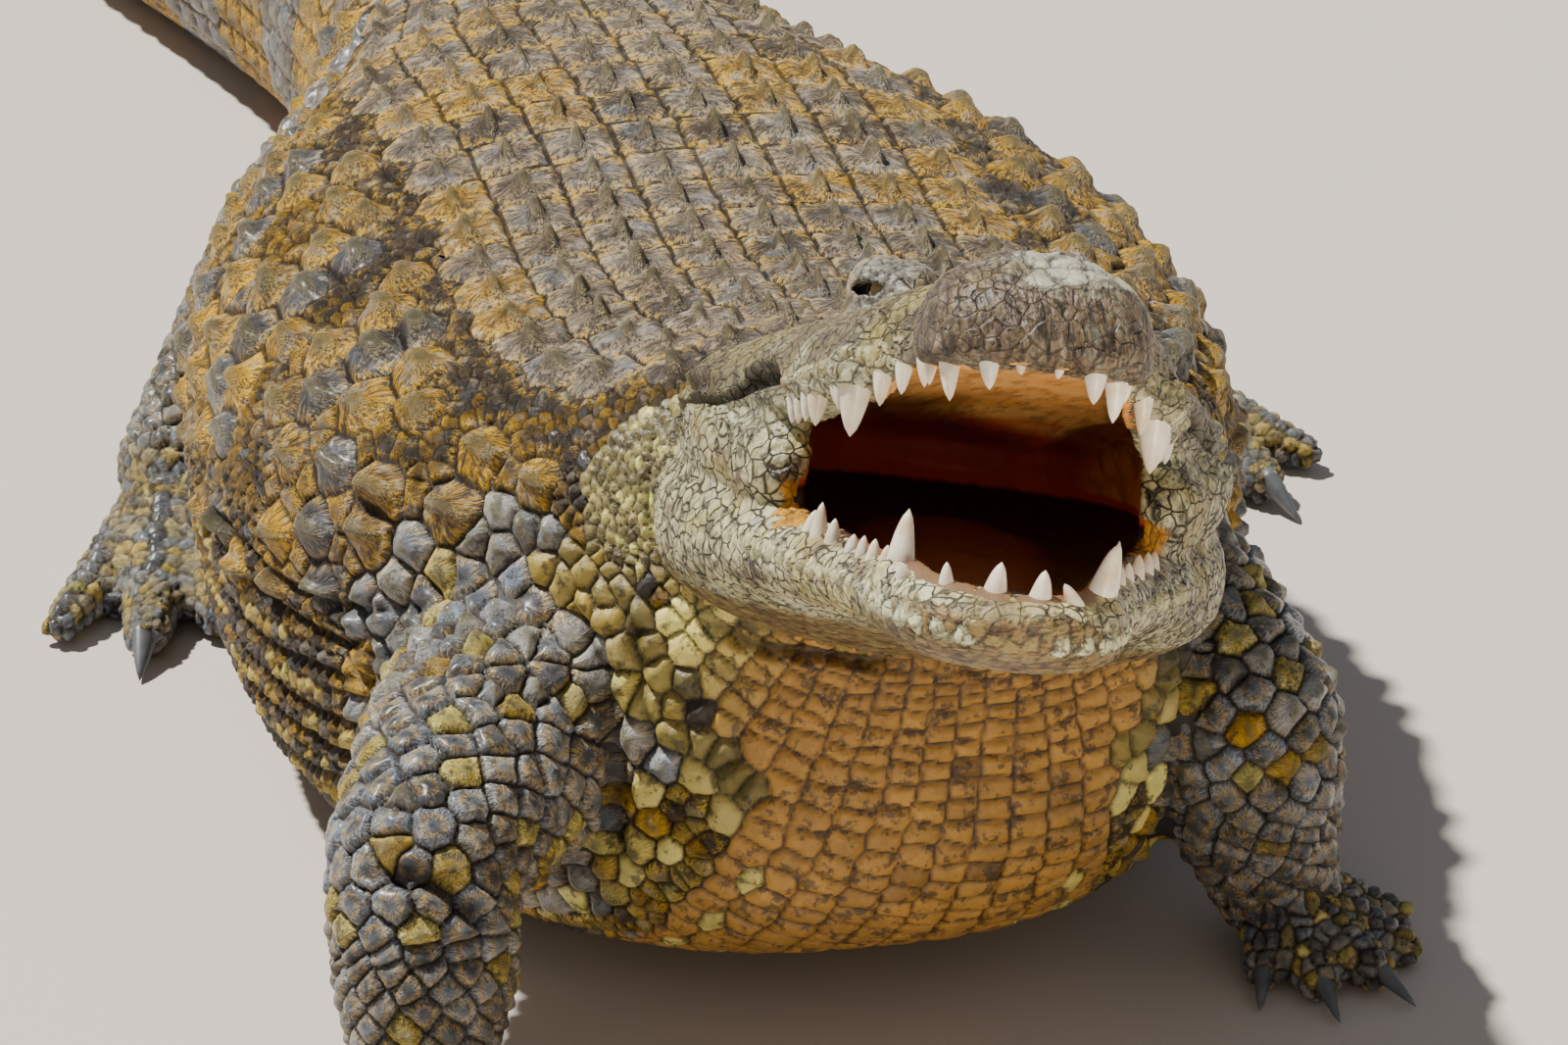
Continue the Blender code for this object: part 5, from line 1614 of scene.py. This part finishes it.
def hornMaterial():
    look = Look("horn scales")
    tone = look.attribute("tone", 0)
    v, u, dice = look.split(look.attribute("spot", 1))
    streaky, cracked, pitted = look.split(look.attribute("facts", 1))
    gap, ridge, wrinkle = (look.attribute(name) for name in ("gap", "ridge", "wrinkle"))
    far = (u * u + v * v + 0.0004) ** 0.5

    def raysFrom(spread, along):
        # streaks that run out from a point behind the middle of each scale
        return look.noise(2.6, 3.0, 0.65, look.combine(v / far * spread, (u - 0.35) / far * spread, along))

    rays = raysFrom(2.7, far * 0.8 + dice * 40.0)
    glints = raysFrom(3.6, far * 0.6 - dice * 31.0)
    fibre = rays.ease(0.45, 0.54)
    broad = look.noise(9.0, 2.0, 0.6)
    middle = look.noise(34.0, 3.0, 0.7)
    grain = look.noise(190.0, 2.0, 0.65)
    speck = look.noise(75.0, 3.0, 0.7)
    bright = broad * 0.9 + middle * 1.3 - 0.05
    base = look.blend(1.0, tone, look.combine(bright, bright, bright), "MULTIPLY")
    striped = look.blend(fibre, look.blend(0.90, base, (0.022, 0.019, 0.018)), base)
    gold = look.blend(0.5, tone, (0.86, 0.64, 0.32))
    striped = look.blend(glints.ease(0.54, 0.66) * 0.70, striped, gold)
    rim = far.ease(0.50, 1.05) * (1.0 - far.ease(1.25, 1.6))
    tuft = look.blend(fibre, (0.13, 0.12, 0.080), (0.50, 0.44, 0.26))
    base = look.layers(
        base,
        (streaky * 0.88, striped),
        (streaky * middle.ease(0.54, 0.64) * 0.50, (0.17, 0.185, 0.215)),
        (rim * fibre * streaky * 0.75, (0.62, 0.42, 0.13)),
        (speck.ease(0.52, 0.62) * 0.70, (0.030, 0.026, 0.024)),
        (streaky * (1.0 - speck.ease(0.36, 0.42)) * 0.45, (0.62, 0.55, 0.42)),
        (ridge * 0.55, tuft))
    # wrinkles: upright hair lines on the nose, level creases on the chin
    upright = wrinkle.math("MAXIMUM", 0.0)
    level = (0.0 - wrinkle).math("MAXIMUM", 0.0)
    hair = look.grain((230.0, 60.0, 42.0))
    creased = look.grain((45.0, 60.0, 260.0))
    # cracks and pits of the jaws
    patchy = look.noise(26.0, 3.0, 0.65)
    smudge = look.noise(15.0, 2.0, 0.6)
    coarse = cellEdges(look, 84.0, 0.085) * cracked
    fine = cellEdges(look, 190.0, 0.075) * (pitted * 0.75) * speck.ease(0.35, 0.6)
    pits = look.node("ShaderNodeTexVoronoi", {"feature": "F1"}, {"Vector": look.where, "Scale": 210.0})
    pit = (1.0 - pits.ease(0.17, 0.30)) * pitted * middle.ease(0.45, 0.6)
    base = look.layers(
        base,
        (upright * hair.ease(0.48, 0.60) * 0.90, (0.030, 0.024, 0.020)),
        (upright * (1.0 - hair.ease(0.30, 0.44)) * 0.55, (0.48, 0.43, 0.36)),
        (level * creased.ease(0.50, 0.64) * 0.85, (0.060, 0.030, 0.014)),
        (cracked * patchy.ease(0.50, 0.62) * 0.75, (0.130, 0.095, 0.075)),
        (cracked * smudge.ease(0.54, 0.70) * 0.45, (0.560, 0.480, 0.200)),
        (cracked * (1.0 - patchy.ease(0.32, 0.46)) * 0.45, (0.720, 0.740, 0.620)),
        (coarse * 0.95, (0.028, 0.024, 0.018)),
        (fine * 0.8, (0.050, 0.042, 0.032)),
        (pit * 0.9, (0.022, 0.020, 0.016)),
        # gap: dark seams between the scales, and painted shade in the creases
        (gap * 0.94, (0.014, 0.010, 0.008)))
    red, _, blue = look.split(tone)  # bluish scales are the glossy ones
    height = (rays * streaky * 2.0 + grain * 0.30 + speck * 0.55 - coarse * 1.2 - pit * 0.6
              - upright * hair * 0.9 - level * creased * 1.2)
    base = look.node("ShaderNodeHueSaturation", {}, {"Saturation": 1.28, "Value": 1.06, "Color": base})
    return look.done({
        "Base Color": base,
        "Roughness": grain * 0.30 + middle * 0.25 + 0.20,
        "Coat Weight": (blue - red).ease(0.005, 0.040) * (1.0 - gap) * 0.55,
        "Coat Roughness": 0.30,
        "Normal": look.bump(height, 0.85, 0.0030),
    })


def plainSkinMaterial():
    look = Look("skin under the scales")
    grain = look.noise(120.0)
    return look.done({
        "Base Color": look.blend(grain, look.attribute("tone", 0), (0.02, 0.017, 0.014)),
        "Roughness": grain * 0.3 + 0.5,
        "Normal": look.bump(grain, 0.5, 0.002),
    })


def mouthMaterial():
    # orange palate in front, red and then nearly black toward the throat; the near black deep in the mouth
    # and low on its floor is painted shade
    look = Look("mouth lining")
    deep, gum = look.attribute("inward"), look.attribute("gum")
    streaks = look.grain((130.0, 9.0, 40.0), 4.0, 0.6)
    blotch = look.noise(22.0)
    pale = look.blend(blotch.ease(0.35, 0.65), (0.86, 0.47, 0.15), (0.78, 0.36, 0.08))
    red = look.blend(blotch, (0.62, 0.085, 0.040), (0.36, 0.030, 0.018))
    brown = look.blend(blotch, (0.070, 0.046, 0.030), (0.200, 0.135, 0.085))
    return look.done({
        "Base Color": look.layers(
            pale,
            (streaks.ease(0.46, 0.66) * 0.75, (0.33, 0.14, 0.035)),
            ((deep + blotch * 0.20 - 0.10).ease(0.84, 0.97), red),
            # nearly black deep in the mouth and low on its floor: painted shade
            ((deep + streaks * 0.2 - 0.10).ease(1.04, 1.20), (0.020, 0.007, 0.006)),
            (gum * 0.9, brown)),
        "Roughness": blotch * 0.3 + 0.38,
        "Normal": look.bump(streaks, 0.5, 0.003),
    })


hornLook = hornMaterial()
for piece in coat:
    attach(piece, "root")
    piece.data.materials.append(mouthMaterial() if piece.name == "mouthLining" else hornLook)

lining = bpy.data.objects["mouthLining"]
place = inJaw(middleAxes, readValues(lining.data.vertices, "co"))
# the floor of the mouth turns red, and then into the painted shade, sooner than the palate
floorOf = 1.0 - ease(place[:, 2], -0.036, -0.014)
addAttribute(lining.data, "inward", 1.0 - np.clip(place[:, 0] / 0.60, 0.0, 1.0) + 0.75 * floorOf)
addAttribute(lining.data, "gum", (place[:, 2] < 0.0) * ease(place[:, 0], 0.36, 0.46))

skin.data.materials.append(plainSkinMaterial())
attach(skin, "root")
fleshNodes = ["head", "lower_jaw", "neck", "trunk", "tail_base", "tail_middle", "tail_rear", "tail_tip"]
fleshNodes += [f"{end}_{side}_{part}" for end in ("front", "hind") for side in ("right", "left")
               for part in ("upper", "lower", "foot")]
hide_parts(*fleshNodes)
print("skin and coat dressed")


def cone(builder, root, tip, radius, bow, rings=11, sides=16, blunt=0.45, squash=1.0):
    # a tooth or a claw: rings from the root to a rounded tip, bowed sideways
    along = unit(tip - root)
    side = unit(np.cross(along, (0.31, 0.83, 0.46)))
    up = np.cross(side, along)
    length = np.linalg.norm(tip - root)
    rows = []
    for number in range(rings):
        share = number / (rings - 1)
        thick = radius * ((1.0 - share) ** 0.8 * (1.0 - blunt) + blunt * (1.0 - share ** 3.0) ** 0.6)
        thick = max(thick, 0.0002)
        centre = root + along * length * share + bow * (share * share)
        row = []
        for step in range(sides):
            turn = 2.0 * math.pi * step / sides
            way = side * math.cos(turn) + up * math.sin(turn) * squash
            row.append(builder.verts.new(centre + way * thick))
        rows.append(row)
    for lower, upper in zip(rows[:-1], rows[1:]):
        for step in range(sides):
            after = (step + 1) % sides
            builder.faces.new((lower[step], lower[after], upper[after], upper[step]))
    builder.faces.new(rows[0][::-1])
    builder.faces.new(rows[-1])


def finished(name, builder, material):
    bmesh.ops.recalc_face_normals(builder, faces=builder.faces)
    obj = linked(name, bpy.data.meshes.new(name))
    builder.to_mesh(obj.data)
    builder.free()
    obj.data.shade_smooth()
    obj.data.materials.append(material)
    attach(obj, "root")
    return obj


def toothMaterial():
    look = Look("tooth ivory")
    stain = look.noise(70.0)
    fine = look.noise(420.0, 2.0)
    return look.done({
        "Base Color": look.blend(stain.ease(0.35, 0.75), (0.86, 0.82, 0.70), (0.66, 0.56, 0.38)),
        "Roughness": fine * 0.2 + 0.22,
        "Normal": look.bump(fine, 0.25, 0.0008),
        "Subsurface Weight": 0.15,
        "Subsurface Scale": 0.01,
    })


ivory = toothMaterial()
for key, axes, sign in toothedJaws:
    builder = bmesh.new()
    for ahead, side, length, radius, lean, spread in teeth[key]:
        hand = 1.0 if side > 0.0 else -1.0
        root = jawPoint(axes, ahead, side, lipHeight(key, ahead, abs(side)) - sign * length * 0.35)
        way = unit(axes[2] * sign + axes[1] * (spread * hand) + axes[0] * lean)
        bow = -axes[1] * hand * length * 0.10 - axes[0] * length * 0.08
        cone(builder, root, root + way * length * 1.38, radius, bow)
    finished(key + "Teeth", builder, ivory)
print("teeth set")


def clawMaterial():
    look = Look("claw horn")
    stain = look.noise(90.0)
    return look.done({
        "Base Color": look.blend(stain, (0.05, 0.06, 0.075), (0.16, 0.17, 0.18)),
        "Roughness": stain * 0.2 + 0.3,
    })


builder = bmesh.new()
for name in legs:
    for index in range(3):  # only the three inner toes have claws
        _, _, nearTip, tip = toePath(name, index)
        along = unit(tip - nearTip)
        root = tip - along * 0.012 + np.array((0.0, 0.0, 0.003))
        point = root + along * (kindOf(name)["claw"] + 0.010)
        point[2] = 0.006
        bow = np.array((0.0, 0.0, -0.003))
        cone(builder, root, point, toes[name][index][2] * 0.56, bow, 8, 12, 0.15, 0.8)
finished("claws", builder, clawMaterial())


# upright scutes on the tail, two rows that close up into one: first place along the tail, spacing, length,
# distance from the middle in half widths and how it changes, height and how it changes, number
crest = {
    "runs": ((0.045, 0.062, 0.060, 0.62, -0.025, 0.022, 0.0016, 8),
             (0.590, 0.058, 0.056, 0.42, -0.03, 0.038, 0.0, 7),
             (1.050, 0.052, 0.052, 0.0, 0.0, 0.048, -0.001, 7),
             (1.452, 0.046, 0.046, 0.0, 0.0, 0.040, -0.0035, 9)),
    "columns": 13,
    "rows": 9,
    "thick": 0.0062,
    "buried": 0.014,
    "peak": 0.80,
}
tailLine = np.array([(x, y, 0.0) for x, y, _, _ in trunk["tail"]]) + pose["shift"]
tailRun = runOf(tailLine)
tailTable = np.hstack((tailLine[:, :2], np.array(trunk["tail"])[:, 2:]))


def scuteTop(share, tall):
    # height of a scute's edge, from its front to its steep rear
    peak = crest["peak"]
    if share < peak:
        top = tall * math.sin(math.pi * min(share / 1.60, 1.0) ** 1.15) ** 0.8
    else:
        top = tall * ((1.0 - (share - peak) / 0.20) ** 0.5 * 0.97)
    return max(top, 0.002)


def scute(builder, low, rear, along, across, tall):
    columns, rows = crest["columns"], crest["rows"]
    sheets = []
    for sign in hands:
        sheet = []
        for i in range(columns):
            s = i / (columns - 1)
            top = scuteTop(s, tall)
            waist = 0.25 + 0.75 * math.sin(math.pi * min(max(s, 0.03), 0.97)) ** 0.5
            column = []
            for j in range(rows):
                t = j / (rows - 1)
                thick = crest["thick"] * (1.0 - 0.82 * t) * waist
                lean = along * (0.35 * tall * t * t)
                point = low + (rear - low) * s * 0.98 + np.array((0.0, 0.0, top * t)) + lean * (1.0 - s)
                column.append(builder.verts.new(point + across * sign * thick))
            sheet.append(column)
        sheets.append(sheet)
    left, right = sheets
    for i in range(columns - 1):
        for j in range(rows - 1):
            for sheet, step in ((left, 1), (right, -1)):
                quad = [sheet[i][j], sheet[i + 1][j], sheet[i + 1][j + 1], sheet[i][j + 1]]
                builder.faces.new(quad[::step])
        builder.faces.new((left[i][-1], left[i + 1][-1], right[i + 1][-1], right[i][-1]))
        builder.faces.new((right[i][0], right[i + 1][0], left[i + 1][0], left[i][0]))
    for i, step in ((0, 1), (columns - 1, -1)):
        for j in range(rows - 1):
            builder.faces.new([left[i][j], left[i][j + 1], right[i][j + 1], right[i][j]][::step])


def crestScutes():
    builder = bmesh.new()
    for first, spacing, length, apart, closing, height, growth, count in crest["runs"]:
        for number in range(count):
            start, offset = first + spacing * number, apart + closing * number
            x, y, wide, high = valuesAt(start, tailRun, tailTable)
            x2, y2, _, high2 = valuesAt(start + length, tailRun, tailTable)
            along = unit(np.array((x2 - x, y2 - y, 0.0)))
            across = np.array((along[1], -along[0], 0.0))
            drop = 0.5 * offset * offset * high
            for hand in (hands if offset > 0.0 else (1.0,)):
                low, rear = (np.array((px, py, tall * 1.97 - 0.016 - drop)) + across * hand * offset * wide
                             for px, py, tall in ((x, y, high), (x2, y2, high2)))
                scute(builder, low, rear, along, across, height + growth * number + crest["buried"])
    return builder


def crestMaterial():
    look = Look("tail scute horn")
    fibre = look.grain((170.0, 150.0, 28.0), 3.0, 0.5)
    broad = look.noise(16.0)
    return look.done({
        "Base Color": look.layers(
            look.blend(fibre.ease(0.35, 0.65), (0.060, 0.052, 0.040), (0.34, 0.24, 0.09)),
            (broad.ease(0.5, 0.7) * 0.7, (0.050, 0.052, 0.056))),
        "Roughness": fibre * 0.3 + 0.45,
        "Normal": look.bump(fibre, 0.7, 0.002),
    })


finished("tailScutes", crestScutes(), crestMaterial())
print("claws and tail scutes made")


# eyes: golden iris with an upright slit, under a clear wet surface
def eyeMaterial(name, centre, gaze):
    look = Look(name)
    off = look.node("ShaderNodeVectorMath", {"operation": "SUBTRACT"}, {0: look.where, 1: tuple(centre)})
    side = unit(np.cross(gaze, upperAxes[2]))
    up = np.cross(side, gaze)
    x, y = (look.node("ShaderNodeVectorMath", {"operation": "DOT_PRODUCT"}, {0: off, 1: tuple(way)}, 1)
            / upperJaw["eyeRadius"] for way in (side, up))
    away = (x * x + y * y) ** 0.5
    rays = look.combine(x / (away + 0.01) * 4.0, y / (away + 0.01) * 4.0, away * 2.0)
    rays = look.noise(3.0, 3.0, 0.5, rays)
    iris = look.blend(rays, (0.20, 0.15, 0.03), (0.52, 0.40, 0.10))
    slit = 1.0 - (x.math("ABSOLUTE") * 7.0 + y * y * 1.6).ease(0.70, 0.90)
    return look.done({
        "Base Color": look.layers(iris, (away.ease(0.50, 0.72), (0.05, 0.045, 0.02)),
                                  (slit, (0.004, 0.004, 0.004))),
        "Roughness": 0.06,
        "Coat Weight": 1.0,
    })


for nodeName, pieceName, hand in (("eye_right", "eyeballRight", -1.0), ("eye_left", "eyeballLeft", 1.0)):
    ahead, side, height = upperJaw["eye"]
    centre = jawPoint(upperAxes, ahead, side * hand, height)
    gaze = unit(upperAxes[0] * 0.35 + upperAxes[1] * hand * 0.9 + upperAxes[2] * 0.30)
    builder = bmesh.new()
    bmesh.ops.create_uvsphere(builder, u_segments=40, v_segments=28, radius=upperJaw["eyeRadius"] - 0.0004)
    bmesh.ops.translate(builder, vec=Vector(centre), verts=builder.verts)
    eyeball = finished(pieceName, builder, eyeMaterial(nodeName + " iris", centre, gaze))
    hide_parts(nodeName)


# tongue: broad, flat and fixed to the floor of the mouth
tongueShape = {
    "rows": ((0.090, 0.040, -0.040), (0.130, 0.062, -0.040), (0.200, 0.068, -0.040), (0.280, 0.060, -0.037),
             (0.340, 0.050, -0.034), (0.390, 0.036, -0.031), (0.420, 0.016, -0.029)),
    "halfHeight": 0.010,
    "squareness": 2.6,
}


def tongueMaterial():
    look = Look("tongue flesh")
    dots = look.node("ShaderNodeTexVoronoi", {"feature": "F1"}, {"Vector": look.where, "Scale": 210.0})
    broad = look.noise(30.0)
    return look.done({
        # dark red-brown flesh, darkened further as painted shade under the upper jaw
        "Base Color": look.layers(look.blend(broad, (0.050, 0.014, 0.010), (0.120, 0.034, 0.020)),
                                  ((1.0 - dots.ease(0.1, 0.4)) * 0.3, (0.160, 0.060, 0.035))),
        "Roughness": broad * 0.3 + 0.25,
        "Coat Weight": 0.3,
        "Normal": look.bump(1.0 - dots.ease(0.0, 0.5), 0.6, 0.0015),
    })


tall, square = tongueShape["halfHeight"], tongueShape["squareness"]
builder = loft([ring(jawPoint(lowerAxes, ahead, 0.0, top), lowerAxes[1], lowerAxes[2], wide, tall, tall,
                     square, square, 40)
                for ahead, wide, top in smoothRows(tongueShape["rows"], 8)])
tongue = finished("tongueFlesh", builder, tongueMaterial())
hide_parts("tongue")
print("eyes and tongue made")

# floor, light and camera
studio = {
    "floor": (0.66, 0.60, 0.54, 1.0),
    "sky": (0.80, 0.86, 1.0, 1.0),
    "skyStrength": 0.24,
    "sun": ((-2.0, 1.7, 4.3), (0.0, 0.0, 0.0), 6.8, (1.0, 0.95, 0.87)),  # place, target, energy, colour
    "bounce": ((0.5, -4.2, 0.35), (0.0, -1.4, 0.5), 22.0, (1.0, 0.74, 0.46)),
    "mouth": ((0.15, -4.1, 1.00), jawPoint(upperAxes, 0.30, 0.01, 0.03), 300.0, (1.0, 0.86, 0.66)),
    "camera": (-1.0329, -5.1078, 2.9874),
    "view": (0.1708, 0.8785, -0.4462),
}
builder = bmesh.new()
bmesh.ops.create_grid(builder, x_segments=1, y_segments=1, size=30.0)
floor = linked("floor", bpy.data.meshes.new("floor"))
builder.to_mesh(floor.data)
builder.free()
floor.data.materials.append(Look("studio floor").done({"Base Color": studio["floor"], "Roughness": 0.8}))

scene.world = bpy.data.worlds.new("studio")
scene.world.use_nodes = True
sky = scene.world.node_tree.nodes["Background"].inputs
sky["Color"].default_value = studio["sky"]
sky["Strength"].default_value = studio["skyStrength"]


def aim(obj, place, direction):
    obj.location = place
    obj.rotation_euler = Vector(direction).to_track_quat("-Z", "Y").to_euler()


def addLight(name, kind):
    place, target, energy, colour = studio[name]
    light = bpy.data.lights.new(name, kind)
    light.energy = energy
    light.color = colour
    aim(linked(name, light), place, Vector(target) - Vector(place))
    return light


addLight("sun", "SUN").angle = 0.05
addLight("bounce", "AREA").size = 1.6
spot = addLight("mouth", "SPOT")
spot.shadow_soft_size = 0.12
spot.spot_size = math.radians(6.2)
spot.spot_blend = 0.6

camera = linked("camera", bpy.data.cameras.new("camera"))
aim(camera, Vector(studio["camera"]) + Vector(pose["shift"]), studio["view"])
camera.data.lens = 200.0
camera.data.sensor_width = 36.0
scene.camera = camera
